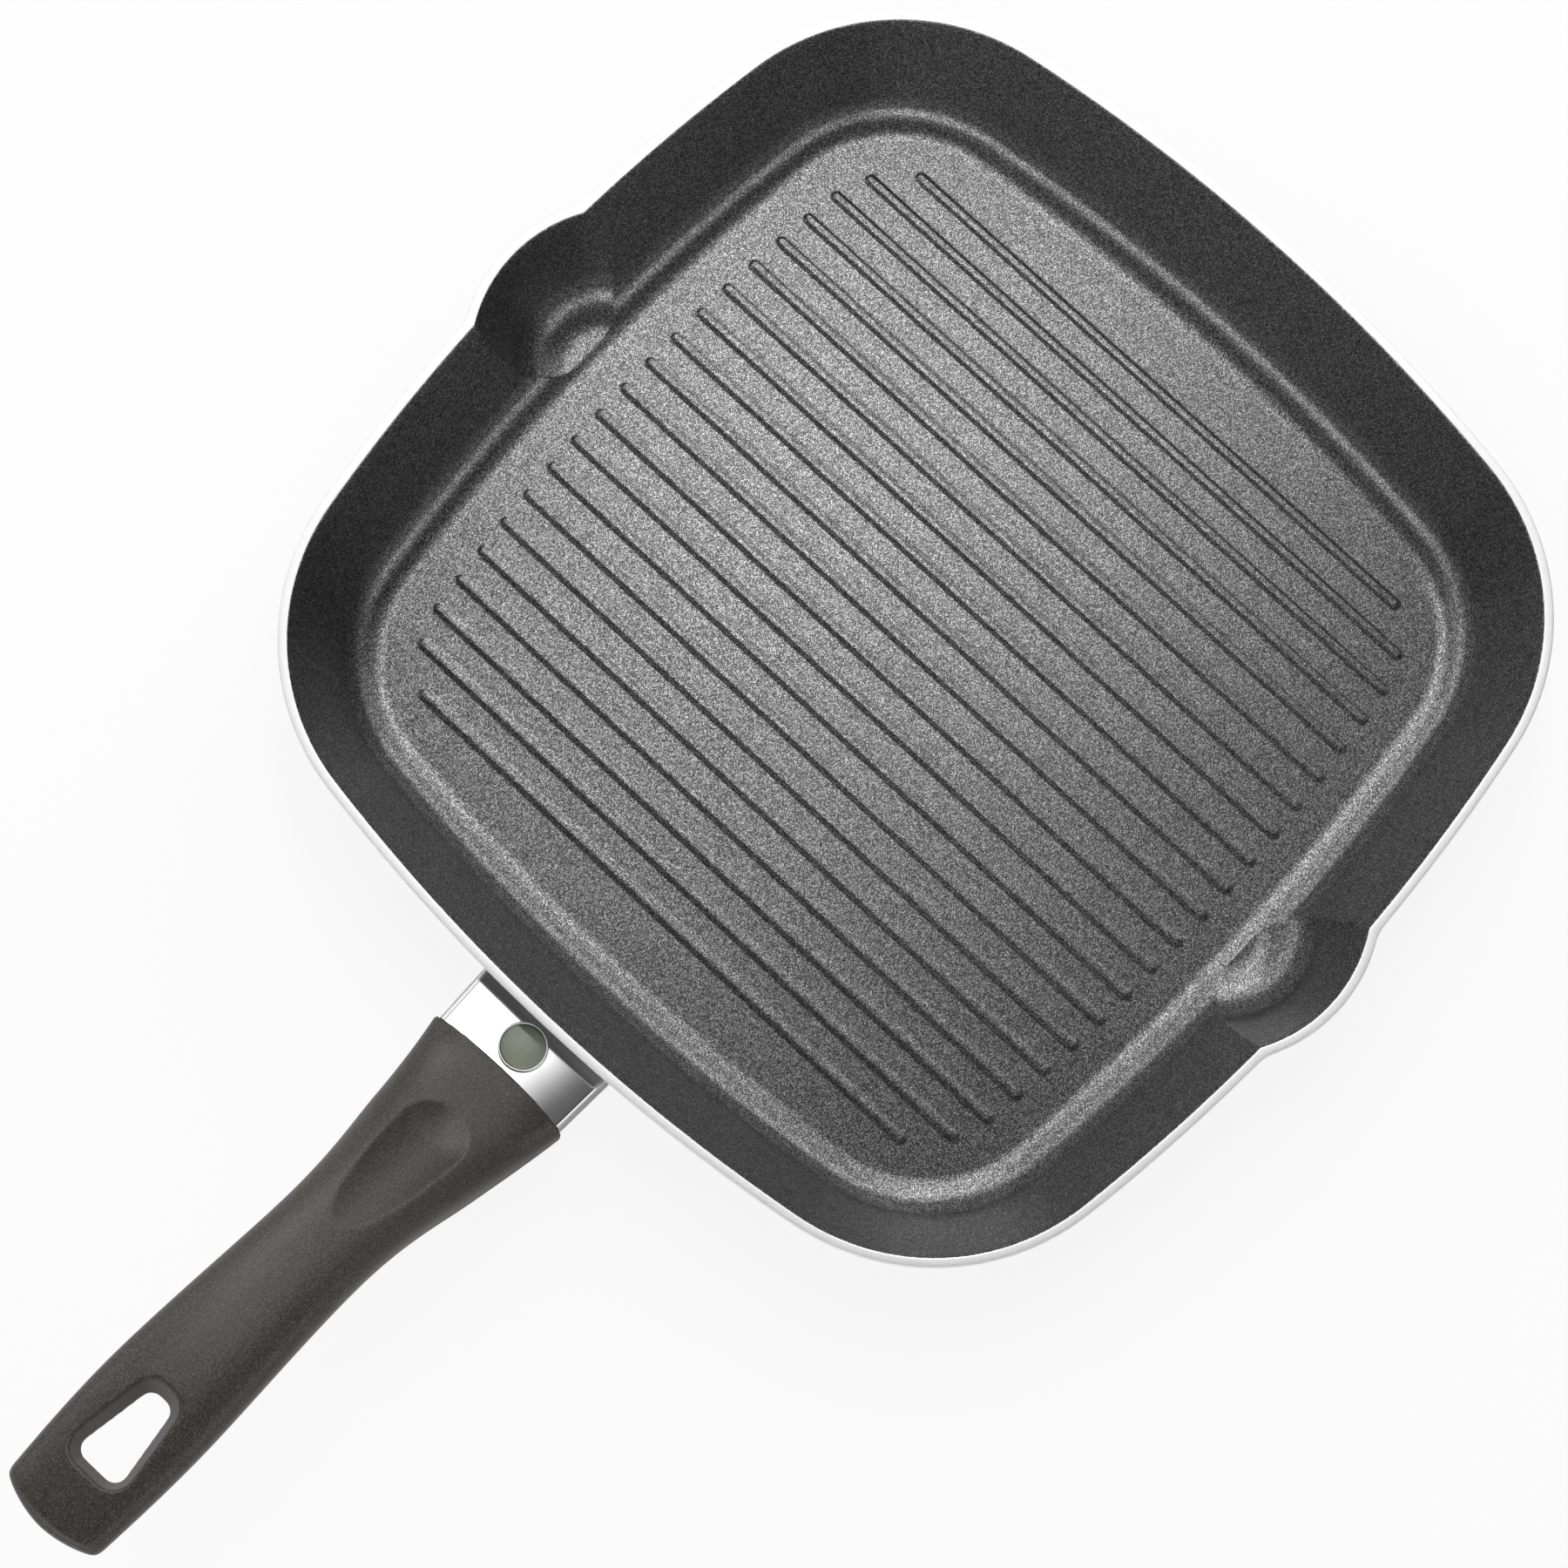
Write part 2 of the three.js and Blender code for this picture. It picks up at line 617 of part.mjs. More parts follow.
// How far along a curve, from 0 to 1, its X reaches a value
function curveAt(curve, x) {
  let low = 0;
  let high = 1;
  for (let i = 0; i < SOLVE_STEPS; i++) {
    const middle = (low + high) / 2;
    if (curve.getPoint(middle).x < x) low = middle;
    else high = middle;
  }
  return low;
}

const splineAt = (curve, place) => curve.getPoint(curveAt(curve, place)).y;
const gripAt = (place) => curveAt(GRIP_CURVE, GUARD_REACH + place);

// Half the width of a round nose, a given distance in from its end
function noseHalf(distance, radius) {
  return otherLeg(radius, Math.max(radius - distance, 0));
}

// The smaller of two lengths, with the corner between them rounded off
function softMin(a, b, round) {
  const share = Math.max(round - Math.abs(a - b), 0) / round;
  return Math.min(a, b) - (share ** 2 * round) / 4;
}

function gripRing(t) {
  const centre = GRIP_CURVE.getPoint(t);
  const along = GRIP_CURVE.getTangent(t);
  const up = new THREE.Vector3(-along.z, 0, along.x);
  const place = centre.x - GUARD_REACH;
  const toTip = GRIP_LENGTH - place;
  const nose = toTip < END_RADIUS ? noseHalf(toTip, END_RADIUS) : Infinity;
  const width = softMin(splineAt(GRIP_WIDTHS, place) / 2, nose, END_CORNER);
  const thickness = splineAt(GRIP_THICKNESSES, place) / 2 - END_EDGE + noseHalf(toTip, END_EDGE);
  const squareness = lerp(FRONT_SQUARENESS, PALM_SQUARENESS, Math.min(place / NECK_REACH, 1));
  const ring = [];
  for (let i = 0; i < GRIP_SECTION_STEPS; i++) {
    const angle = (2 * Math.PI * i) / GRIP_SECTION_STEPS;
    const power = (value) => Math.sign(value) * Math.abs(value) ** (2 / squareness);
    const point = centre.clone().addScaledVector(up, thickness * power(Math.sin(angle)));
    point.y = width * power(Math.cos(angle));
    ring.push(point);
  }
  return ring;
}

function gripBlank() {
  const places = [];
  for (let i = 0; i < GRIP_STEPS; i++) places.push((GRIP_LENGTH - END_EDGE) * (i / GRIP_STEPS));
  for (let i = 0; i < END_STEPS; i++) {
    const angle = (Math.PI / 2) * (i / END_STEPS);
    places.push(GRIP_LENGTH - END_EDGE * (1 - Math.sin(angle)));
  }
  return toSolid(loft(places.map((place) => gripRing(gripAt(place)))));
}

function scoopCutter() {
  const centre = GRIP_CURVE.getPoint(gripAt(SCOOP_REACH));
  const along = GRIP_CURVE.getTangent(gripAt(SCOOP_REACH + SCOOP_LENGTH / 3));
  const up = new THREE.Vector3(-along.z, 0, along.x);
  const lift = splineAt(GRIP_THICKNESSES, SCOOP_REACH) / 2 - SCOOP_DEPTH + SCOOP_RADIUS;
  const cutter = new THREE.CapsuleGeometry(SCOOP_RADIUS, SCOOP_LENGTH, SCOOP_CAP_STEPS, SCOOP_STEPS);
  cutter.rotateZ(-Math.PI / 2).translate(SCOOP_LENGTH / 2, 0, 0);
  cutter.rotateY(-Math.atan2(along.z, along.x) - SCOOP_TILT);
  centre.addScaledVector(up, lift);
  return toSolid(cutter.translate(centre.x, 0, centre.z));
}

function holeCutter() {
  const t = gripAt(GRIP_LENGTH - HOLE_SETBACK);
  const centre = GRIP_CURVE.getPoint(t);
  const along = GRIP_CURVE.getTangent(t);
  const half = HOLE_LENGTH / 2 - HOLE_CORNER;
  const narrow = HOLE_NARROW / 2 - HOLE_CORNER;
  const wide = HOLE_WIDE / 2 - HOLE_CORNER;
  const corners = [[-half, -narrow], [half, -wide], [half, wide], [-half, narrow]];
  const depth = PALM_THICKNESS / 2 + OVERSHOOT;
  const rings = [-depth, 0, depth].map((z) => {
    const radius = HOLE_CORNER + Math.abs(z) * Math.tan(HOLE_DRAFT);
    return roundedPolygon(corners, radius).map(([x, y]) => new THREE.Vector3(x, y, z));
  });
  const cutter = loft(rings).rotateY(-Math.atan2(along.z, along.x));
  return toSolid(cutter.translate(centre.x, 0, centre.z));
}

// Levels of the screw and washers under the tang
const SEAT = -TANG_THICKNESS / 2 - GAP - SCREW_SEAT;
const WASHER_TOP = SEAT - GAP;
const SPRING_TOP = WASHER_TOP - WASHER_THICKNESS - GAP;
const SCREW_HEAD_TOP = SPRING_TOP - SPRING_THICKNESS - GAP;
const SCREW_TIP = TANG_THICKNESS / 2 + SCREW_OVERRUN;
const SCREW_X = GUARD_REACH + SCREW_SETBACK;

function handleGrip() {
  const front = GUARD_REACH - GRIP_SPIGOT;
  const spigotInset = GUARD_SHEET + GAP;
  const spigot = loft([
    guardRing(front, spigotInset),
    guardRing(GUARD_REACH + OVERSHOOT, spigotInset),
  ]);
  const slotEnd = GUARD_REACH + TANG_DEPTH + GAP;
  const slot = bar(front - OVERSHOOT, slotEnd, TANG_WIDTH / 2 + GAP, TANG_THICKNESS / 2 + GAP);
  const indicatorRoom = turnedRod(BEZEL_NECK + GAP, 0, BEZEL_TOP + OVERSHOOT);
  indicatorRoom.translate(INDICATOR_X, 0, 0);
  const bore = turnedRod(SCREW_DIAMETER / 2 + GAP, SEAT - OVERSHOOT, SCREW_TIP + GAP);
  bore.translate(SCREW_X, 0, 0);
  const counterbore = turnedRod(WASHER_DIAMETER / 2 + GAP, -FRONT_THICKNESS, SEAT);
  counterbore.translate(SCREW_X, 0, 0);
  const cutters = [slot, indicatorRoom, bore, counterbore].map(toSolid);
  cutters.push(scoopCutter(), holeCutter());
  const blank = gripBlank().add(toSolid(spigot));
  return cutters.reduce((body, cutter) => body.subtract(cutter), blank);
}

// Screw and washers

function handleScrew() {
  const headRadius = SCREW_HEAD_DIAMETER / 2;
  const headBottom = SCREW_HEAD_TOP - SCREW_HEAD;
  const shankRadius = SCREW_DIAMETER / 2;
  const screw = toSolid(turned([
    [0, headBottom],
    [headRadius - SCREW_HEAD_EDGE, headBottom],
    [headRadius, headBottom + SCREW_HEAD_EDGE],
    [headRadius, SCREW_HEAD_TOP],
    [shankRadius, SCREW_HEAD_TOP],
    [shankRadius, SCREW_TIP - SCREW_TIP_EDGE],
    [shankRadius - SCREW_TIP_EDGE, SCREW_TIP],
    [0, SCREW_TIP],
  ]));
  const [long, wide] = [CROSS_LENGTH / 2, CROSS_SLOT / 2];
  const [from, to] = [headBottom - OVERSHOOT, headBottom + CROSS_DEPTH];
  const cross = toSolid(block(-long, long, -wide, wide, from, to));
  return screw.subtract(cross.add(toSolid(block(-wide, wide, -long, long, from, to))));
}

function flatWasher() {
  const bore = SCREW_DIAMETER / 2 + GAP;
  return turnedRing(bore, WASHER_DIAMETER / 2, WASHER_TOP - WASHER_THICKNESS, WASHER_TOP);
}

function springWasher() {
  const outer = SPRING_DIAMETER / 2;
  const bottom = SPRING_TOP - SPRING_THICKNESS;
  const ring = turnedRing(SCREW_DIAMETER / 2 + GAP, outer, bottom, SPRING_TOP);
  const split = bar(0, outer + OVERSHOOT, SPRING_SPLIT / 2, SPRING_THICKNESS);
  split.translate(0, 0, (bottom + SPRING_TOP) / 2).rotateZ(SPRING_SPLIT_ANGLE);
  return toSolid(ring).subtract(toSolid(split));
}

// Scene

const MATERIALS = {
  coating: new THREE.MeshStandardMaterial({ color: 0x3a3a3b, roughness: 0.5, metalness: 0.3 }),
  phenolic: new THREE.MeshStandardMaterial({ color: 0x3b3635, roughness: 0.6, metalness: 0 }),
  polishedSteel: new THREE.MeshStandardMaterial({ color: 0xd8d9da, roughness: 0.12, metalness: 1 }),
  aluminium: new THREE.MeshStandardMaterial({ color: 0xb9bbbd, roughness: 0.4, metalness: 1 }),
  zincSteel: new THREE.MeshStandardMaterial({ color: 0xa5a8ab, roughness: 0.35, metalness: 1 }),
  indicatorGreen: new THREE.MeshStandardMaterial({ color: 0x68705c, roughness: 0.45, metalness: 0 }),
  clear: new THREE.MeshStandardMaterial({ color: 0xe8efe6, roughness: 0.06, metalness: 0 }),
  silicone: new THREE.MeshStandardMaterial({ color: 0x2b2b2c, roughness: 0.8, metalness: 0 }),
};

function node(name, shape, material, position = [0, 0, 0]) {
  const geometry = shape.isBufferGeometry ? shape : toGeometry(shape);
  const mesh = new THREE.Mesh(geometry, material);
  mesh.name = name;
  mesh.position.set(...position);
  return mesh;
}

const indicatorSpot = [INDICATOR_X, 0, 0];
const screwSpot = [SCREW_X, 0, 0];
const seal = turnedRing(WINDOW_RADIUS - SEAL_WIDTH, WINDOW_RADIUS, BAR_TOP + GAP, HEAD_BOTTOM - GAP);
const disc = turnedRod(WINDOW_RADIUS, DISC_BOTTOM, DISC_TOP);
const window = turnedRod(WINDOW_RADIUS, WINDOW_BOTTOM, WINDOW_TOP);

const handle = new THREE.Group();
handle.applyMatrix4(handleMatrix);
handle.add(
  node('handle_bracket', handleBracket(), MATERIALS.aluminium),
  node('flame_guard', flameGuard(), MATERIALS.polishedSteel),
  node('heat_conductor', heatConductor(), MATERIALS.aluminium),
  node('indicator_seal', seal, MATERIALS.silicone, indicatorSpot),
  node('thermochromic_disc', disc, MATERIALS.indicatorGreen, indicatorSpot),
  node('indicator_window', window, MATERIALS.clear, indicatorSpot),
  node('indicator_bezel', indicatorBezel(), MATERIALS.polishedSteel, indicatorSpot),
  node('handle_grip', handleGrip(), MATERIALS.phenolic),
  node('handle_screw', handleScrew(), MATERIALS.zincSteel, screwSpot),
  node('flat_washer', flatWasher(), MATERIALS.zincSteel, screwSpot),
  node('spring_washer', springWasher(), MATERIALS.zincSteel, screwSpot),
);

const pan = new THREE.Group();
pan.add(node('pan_body', panBody(), MATERIALS.coating), handle);

export default pan;
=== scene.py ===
"""Square ribbed grill pan, dressed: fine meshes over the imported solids, their finishes, and a plain
studio seen from the photograph's viewpoint.

Sizes are in millimetres, as on the solids, and become metres where a mesh is made. The studio's are
in metres. +Z is up, the handle points along -X, the ribs run along Y and the spouts are on the +Y
and -Y sides.
"""

import math
from types import SimpleNamespace

import bmesh
import bpy
import numpy as np
from mathutils import Matrix, Vector
from mathutils.geometry import delaunay_2d_cdt

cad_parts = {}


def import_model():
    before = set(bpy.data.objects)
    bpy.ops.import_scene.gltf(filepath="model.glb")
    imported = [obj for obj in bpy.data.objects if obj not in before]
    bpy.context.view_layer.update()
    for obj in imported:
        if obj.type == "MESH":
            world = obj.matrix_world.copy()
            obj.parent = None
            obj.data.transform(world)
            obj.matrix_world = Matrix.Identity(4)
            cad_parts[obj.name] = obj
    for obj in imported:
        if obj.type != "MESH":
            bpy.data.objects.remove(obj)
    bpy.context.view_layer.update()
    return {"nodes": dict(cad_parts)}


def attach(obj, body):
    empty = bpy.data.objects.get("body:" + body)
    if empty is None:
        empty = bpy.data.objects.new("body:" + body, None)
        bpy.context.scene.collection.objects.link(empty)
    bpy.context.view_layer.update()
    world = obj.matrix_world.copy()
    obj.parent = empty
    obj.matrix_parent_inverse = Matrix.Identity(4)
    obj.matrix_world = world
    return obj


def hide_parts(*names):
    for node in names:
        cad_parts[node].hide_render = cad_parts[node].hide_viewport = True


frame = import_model()

MM = 0.001  # in metres

# Pan body
RIM_HALF = 137.0
RIM_SIDE_RADIUS = 514.0
RIM_CORNER_RADIUS = 60.8
RIM_HEIGHT = 40.5
RIM_INNER_EDGE = 0.5
RIM_OUTER_EDGE = 0.8
WALL_THICKNESS = 2.9
WALL_LEAN = math.radians(23.5)
FLOOR_THICKNESS = 4.2
FLOOR_FILLET = 12.0
FLOOR_SIDE_RADIUS = 680.0
FLOOR_CORNER_RADIUS = 35.6
BASE_FILLET = 14.0
BASE_MARGIN = 4.0  # lacquered border of the flat base
EDGE_GUARD = 0.4  # flat border beside a curve, which keeps the flat's shading flat

# Pouring spouts
SPOUT_RIM_RADIUS = 40.0
SPOUT_RIM_BULGE = 5.25
SPOUT_FOOT_RADIUS = 24.3
SPOUT_FOOT_INSET = 2.2
SPOUT_SHELF_RISE = 0.9
SPOUT_FILLET = 15.5
SPOUT_INNER_BLEND = 1.5
SPOUT_OUTER_BLEND = 12.0

# Ribs
RIB_PITCH = 9.7
RIB_WIDTH = 4.2
RIB_HEIGHT = 0.5
RIB_CROWN = 0.6  # width of the flat on top
RIB_MARGIN = 7.25
RIB_END_MARGIN = 8.0
RIB_FIELD_SIDE_RADIUS = 592.0
RIB_FIELD_CORNER_RADIUS = 28.8

# Clearance between pieces that seat on each other
GAP = 0.3

# Flame guard
GUARD_LEVEL = 18.8
GUARD_TILT = math.radians(7.5)
GUARD_REACH = 26.7
GUARD_WIDTH = 43.6
GUARD_REAR_WIDTH = 41.6
GUARD_THICKNESS = 16.0
GUARD_CORNER = 1.7
GUARD_SHEET = 0.9
GUARD_CROWN = 1.0  # how far the middle of its top stands above the sides

# Tang inside the handle
TANG_WIDTH = 14.0
TANG_THICKNESS = 3.0
TANG_DEPTH = 15.0

# Heat indicator
INDICATOR_SETBACK = 9.0
WINDOW_DIAMETER = 11.6
WINDOW_THICKNESS = 1.0
WINDOW_RECESS = 0.2
WINDOW_EDGE = 0.12
DISC_THICKNESS = 0.6
BEZEL_LAP = 0.1  # how far the ring covers the edge of its hole
BEZEL_RISE = 0.8
BEZEL_SHEATH = 0.25  # wall of the ring's neck
WINDOW_FIT = 0.06  # slack of the window in its ring
CONDUCTOR_THICKNESS = 1.2

# Handle grip
GRIP_SIDE_STEP = 1.55
GRIP_TOP_STEP = 3.0
GRIP_SPIGOT = 6.0
GRIP_LENGTH = 155.1
GRIP_RISE = 43.4
GRIP_START_PULL = 30.8
GRIP_BEND_REACH = 47.7
GRIP_BEND_RISE = 50.4
SHOULDER_REACH = 26.0
SHOULDER_WIDTH = 36.5
NECK_REACH = 59.7
NECK_WIDTH = 28.4
NECK_THICKNESS = 18.5
PALM_REACH = 118.3
PALM_WIDTH = 32.0
PALM_THICKNESS = 16.0
END_WIDTH = 28.6
END_THICKNESS = 13.0
END_RADIUS = 30.0
END_CORNER = 2.0
END_EDGE = 4.0
FRONT_SQUARENESS = 3.4
PALM_SQUARENESS = 2.6
FRONT_BOW = 1.2  # how far the middle of the front edge stands out
FRONT_BOW_REACH = 14.0  # where that bow has run out

# Thumb scoop
SCOOP_RADIUS = 19.5
SCOOP_DEPTH = 3.0
SCOOP_REACH = 28.6
SCOOP_LENGTH = 60.0
SCOOP_TILT = math.radians(4)
SCOOP_TIP = 2  # degrees of each round end that a flat end replaces

# Hanging hole
HOLE_SETBACK = 28.9
HOLE_LENGTH = 22.0
HOLE_NARROW = 8.0
HOLE_WIDE = 13.0
HOLE_CORNER = 3.0
HOLE_DRAFT = math.radians(20)

# Handle screw and washers
SCREW_DIAMETER = 5.0
SCREW_SETBACK = 8.5
SCREW_SEAT = 2.2
SCREW_OVERRUN = 1.0
SCREW_HEAD_DIAMETER = 8.6
SCREW_HEAD = 2.4
SCREW_HEAD_EDGE = 1.1
SCREW_TIP_EDGE = 0.8
CROSS_SLOT = 1.1
CROSS_LENGTH = 5.0
CROSS_DEPTH = 1.3
WASHER_DIAMETER = 9.2
WASHER_THICKNESS = 0.8
SPRING_THICKNESS = 1.0
OVERSHOOT = 4.0  # how far a cutter runs past what it cuts

# Fineness of the meshes
SIDE_STEPS = 18
CORNER_STEPS = 26
BLEND_STEPS = 8
SPOUT_STEPS = 22
FILLET_STEPS = 16
WALL_STEPS = 8
EDGE_STEPS = 5
SHELF_SHARES = (0.04, 0.3, 0.7, 0.96)  # places of the rings across a spout's shelf
RING_SPACING = 0.02  # the least height between two rings of the wall
RIB_FLANK_STEPS = 8
RIB_END_STEPS = 16
ROUND_STEPS = 96
GUARD_TOP_STEPS = 24
GUARD_CORNER_STEPS = 12
GUARD_LENGTH_STEPS = 12
BEZEL_STEPS = 16
WINDOW_EDGE_STEPS = 4
GRIP_STEPS = 110
END_STEPS = 16
SECTION_STEPS = 128
GRIP_VOXEL = 0.45
GRIP_SMOOTHING = 0.5
GRIP_SMOOTHING_PASSES = 6
SCOOP_STEPS = 40
HOLE_DEPTH_STEPS = 8
HOLE_CORNER_STEPS = 14
SCREW_EDGE_STEPS = 8
HALVINGS = 40  # of a range in which a place is searched for
WELD_DISTANCE = 0.002
SLIVER = 0.0001
PATCH_TOLERANCE = 0.00001
CREASE = math.radians(35)  # edges that turn more than this stay sharp


# Small mathematics

def other_leg(hypotenuse, leg):
    """The other short side of a right-angled triangle, or zero where there is none."""
    return math.sqrt(max(hypotenuse**2 - leg**2, 0))


def lerp(a, b, share):
    return a + (b - a) * share


def arc(centre, radius, start, end, steps):
    """Points on an arc, as pairs, angles in degrees."""
    angles = np.radians(np.linspace(start, end, steps + 1))
    return [(centre[0] + radius * math.cos(a), centre[1] + radius * math.sin(a)) for a in angles]


def rectangle(half_width, half_height):
    """The four corners, anticlockwise, round the middle."""
    return [
        (-half_width, -half_height),
        (half_width, -half_height),
        (half_width, half_height),
        (-half_width, half_height),
    ]


def circle(radius, level):
    """Points round the third axis, as triples."""
    angles = np.linspace(0, 2 * math.pi, ROUND_STEPS, endpoint=False)
    return [(radius * math.cos(a), radius * math.sin(a), level) for a in angles]


def rounded_polygon(corners, radius, steps):
    """A convex polygon, anticlockwise, with every corner rounded outwards by the same radius."""
    points = []
    for i, (x, y) in enumerate(corners):
        px, py = corners[i - 1]
        nx, ny = corners[(i + 1) % len(corners)]
        start = math.atan2(y - py, x - px) - math.pi / 2
        turn = (math.atan2(ny - y, nx - x) - math.pi / 2 - start) % (2 * math.pi)
        points += arc((x, y), radius, math.degrees(start), math.degrees(start + turn), steps)
    return points


# Meshes

class Skin:
    """Faces gathered from rings and patches, each with a finish, and welded into one mesh."""

    def __init__(self, *finishes):
        self.finishes = list(finishes)
        self.points = []
        self.faces = []
        self.indices = []

    def add(self, points, faces, finish):
        base = len(self.points)
        self.points += [tuple(p) for p in points]
        self.faces += [[base + i for i in face] for face in faces]
        self.indices += [self.finishes.index(finish)] * len(faces)

    def loft(self, rings, finish):
        count = len(rings[0])
        faces = []
        for r in range(len(rings) - 1):
            for i in range(count):
                a, b = r * count + i, r * count + (i + 1) % count
                faces.append((a, b, b + count, a + count))
        self.add([p for ring in rings for p in ring], faces, finish)

    def cap(self, ring, finish):
        middle = np.mean(ring, axis=0)
        count = len(ring)
        faces = [(i, (i + 1) % count, count) for i in range(count)]
        self.add([*ring, middle], faces, finish)

    def patch(self, outer, holes, level, finish):
        """A flat face at one height with holes in it."""
        points, loops = [], []
        for loop in [outer, *holes]:
            loops.append(list(range(len(points), len(points) + len(loop))))
            points += [Vector((p[0], p[1])) for p in loop]
        leave_holes_open = 5
        flat, _, faces, *_ = delaunay_2d_cdt(points, [], loops, leave_holes_open, PATCH_TOLERANCE)
        self.add([(p.x, p.y, level) for p in flat], faces, finish)

    def object(self, name, matrix=Matrix(), smooth_below=None):
        mesh = bpy.data.meshes.new(name)
        work = bmesh.new()
        made = [work.verts.new(matrix @ Vector(p) * MM) for p in self.points]
        for face, index in zip(self.faces, self.indices):
            new = work.faces.new([made[i] for i in face])
            new.material_index = index
            new.smooth = True
        bmesh.ops.remove_doubles(work, verts=work.verts, dist=WELD_DISTANCE * MM)
        bmesh.ops.dissolve_degenerate(work, edges=work.edges, dist=SLIVER * MM)
        bmesh.ops.recalc_face_normals(work, faces=work.faces)
        if smooth_below is not None:
            for edge in work.edges:
                edge.smooth = edge.calc_face_angle(0) < smooth_below
        work.to_mesh(mesh)
        work.free()
        for finish in self.finishes:
            mesh.materials.append(finish)
        piece = bpy.data.objects.new(name, mesh)
        bpy.context.scene.collection.objects.link(piece)
        return piece


def turned(name, profile, finish, matrix):
    """A turned piece round the local Z axis. The profile runs from axis to axis or closes on itself."""
    skin = Skin(finish)
    skin.loft([circle(radius, level) for radius, level in profile], finish)
    return skin.object(name, matrix, CREASE)


def lofted(name, rings, finish, matrix):
    """A closed skin through rings, with flat ends."""
    skin = Skin(finish)
    skin.loft(rings, finish)
    skin.cap(rings[0], finish)
    skin.cap(rings[-1], finish)
    return skin.object(name, matrix, CREASE)


def modify(piece, kind, **settings):
    modifier = piece.modifiers.new(kind.lower(), kind)
    for key, value in settings.items():
        setattr(modifier, key, value)


def apply_modifiers(piece):
    graph = bpy.context.evaluated_depsgraph_get()
    mesh = bpy.data.meshes.new_from_object(piece.evaluated_get(graph))
    piece.modifiers.clear()
    piece.data = mesh


def cut(piece, *cutters):
    for cutter in cutters:
        modify(piece, "BOOLEAN", operation="DIFFERENCE", solver="EXACT", object=cutter)
    apply_modifiers(piece)
    for cutter in cutters:
        bpy.data.objects.remove(cutter)
    return piece


def sharpen(piece):
    """Smooth shading, with a crease wherever the mesh turns sharply."""
    work = bmesh.new()
    work.from_mesh(piece.data)
    for face in work.faces:
        face.smooth = True
    for edge in work.edges:
        edge.smooth = edge.calc_face_angle(0) < CREASE
    work.to_mesh(piece.data)
    work.free()
    return piece


def join(piece, other):
    modify(piece, "BOOLEAN", operation="UNION", solver="EXACT", object=other)
    apply_modifiers(piece)
    bpy.data.objects.remove(other)
    return piece


def dress(piece, slot, *nodes):
    """The piece rides on the body and stands for these solids, which it hides. The slot is not used."""
    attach(piece, "root")
    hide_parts(*nodes)


# Finishes

def set_stops(ramp, stops):
    """Gives a colour ramp node its stops, each a position and a colour."""
    elements = ramp.color_ramp.elements
    while len(elements) < len(stops):
        elements.new(0.5)
    for element, (position, colour) in zip(elements, stops):
        element.position = position
        element.color = (*colour, 1)


class Finish:
    """A material with one principled shader, fed by procedural textures in object space."""

    def __init__(self, name, sockets):
        self.material = bpy.data.materials.new(name)
        self.material.use_nodes = True
        self.tree = self.material.node_tree
        self.shader = self.tree.nodes["Principled BSDF"]
        for key, value in sockets.items():
            self.shader.inputs[key].default_value = value
        self.place = self.node("TexCoord", {}, out="Object")

    def node(self, kind, inputs, out=0, **settings):
        made = self.tree.nodes.new("ShaderNode" + kind)
        for key, value in settings.items():
            setattr(made, key, value)
        for key, value in inputs.items():
            if isinstance(value, bpy.types.NodeSocket):
                self.tree.links.new(value, made.inputs[key])
            else:
                made.inputs[key].default_value = value
        return made.outputs[out]

    def noise(self, scale, detail=2.0, roughness=0.5, place=None):
        inputs = {
            "Vector": place or self.place,
            "Scale": scale,
            "Detail": detail,
            "Roughness": roughness,
        }
        return self.node("TexNoise", inputs)

    def stretched(self, x, y, z):
        return self.node("Mapping", {"Vector": self.place, "Scale": (x, y, z)})

    def span(self, value, low, high, start=0.3, end=0.7):
        inputs = {"Value": value, "From Min": start, "From Max": end, "To Min": low, "To Max": high}
        return self.node("MapRange", inputs)

    def ramp(self, value, *stops):
        made = self.tree.nodes.new("ShaderNodeValToRGB")
        set_stops(made, stops)
        self.tree.links.new(value, made.inputs["Fac"])
        return made.outputs["Color"]

    def feed(self, **sockets):
        for key, value in sockets.items():
            self.tree.links.new(value, self.shader.inputs[key.replace("_", " ")])

    def bump(self, height, strength, distance):
        inputs = {"Height": height, "Strength": strength, "Distance": distance * MM}
        self.feed(Normal=self.node("Bump", inputs))


def grey(value, warmth=0.0):
    return (value * (1 + warmth), value, value * (1 - warmth))


FLAKES_PER_METRE = 5400.0
FLAKE_LEAN = 0.04  # how far their faces lean off the surface


def coating_finish():
    """Charcoal non-stick coating full of fine light flakes, each lying at its own angle."""
    finish = Finish("speckled_coating", {"Metallic": 0.93, "Specular IOR Level": 0.5})
    cells = {"Vector": finish.place, "Scale": FLAKES_PER_METRE, "Randomness": 1.0}
    flake = finish.node("TexVoronoi", cells, out="Color")
    lot = finish.node("SeparateColor", {"Color": flake})
    colour = finish.ramp(lot, (0.0, grey(0.026)), (0.7, grey(0.155)), (1.0, grey(0.64)))
    lean = finish.node("VectorMath", {0: flake, 1: (0.5, 0.5, 0.5)}, operation="SUBTRACT")
    lean = finish.node("VectorMath", {0: lean, "Scale": FLAKE_LEAN}, operation="SCALE")
    upright = finish.node("NewGeometry", {}, out="Normal")
    normal = finish.node("VectorMath", {0: upright, 1: lean}, operation="ADD")
    normal = finish.node("VectorMath", {0: normal}, operation="NORMALIZE")
    rough = finish.span(finish.noise(700.0), 0.278, 0.295)
    finish.feed(Base_Color=colour, Roughness=rough, Normal=normal)
    return finish.material


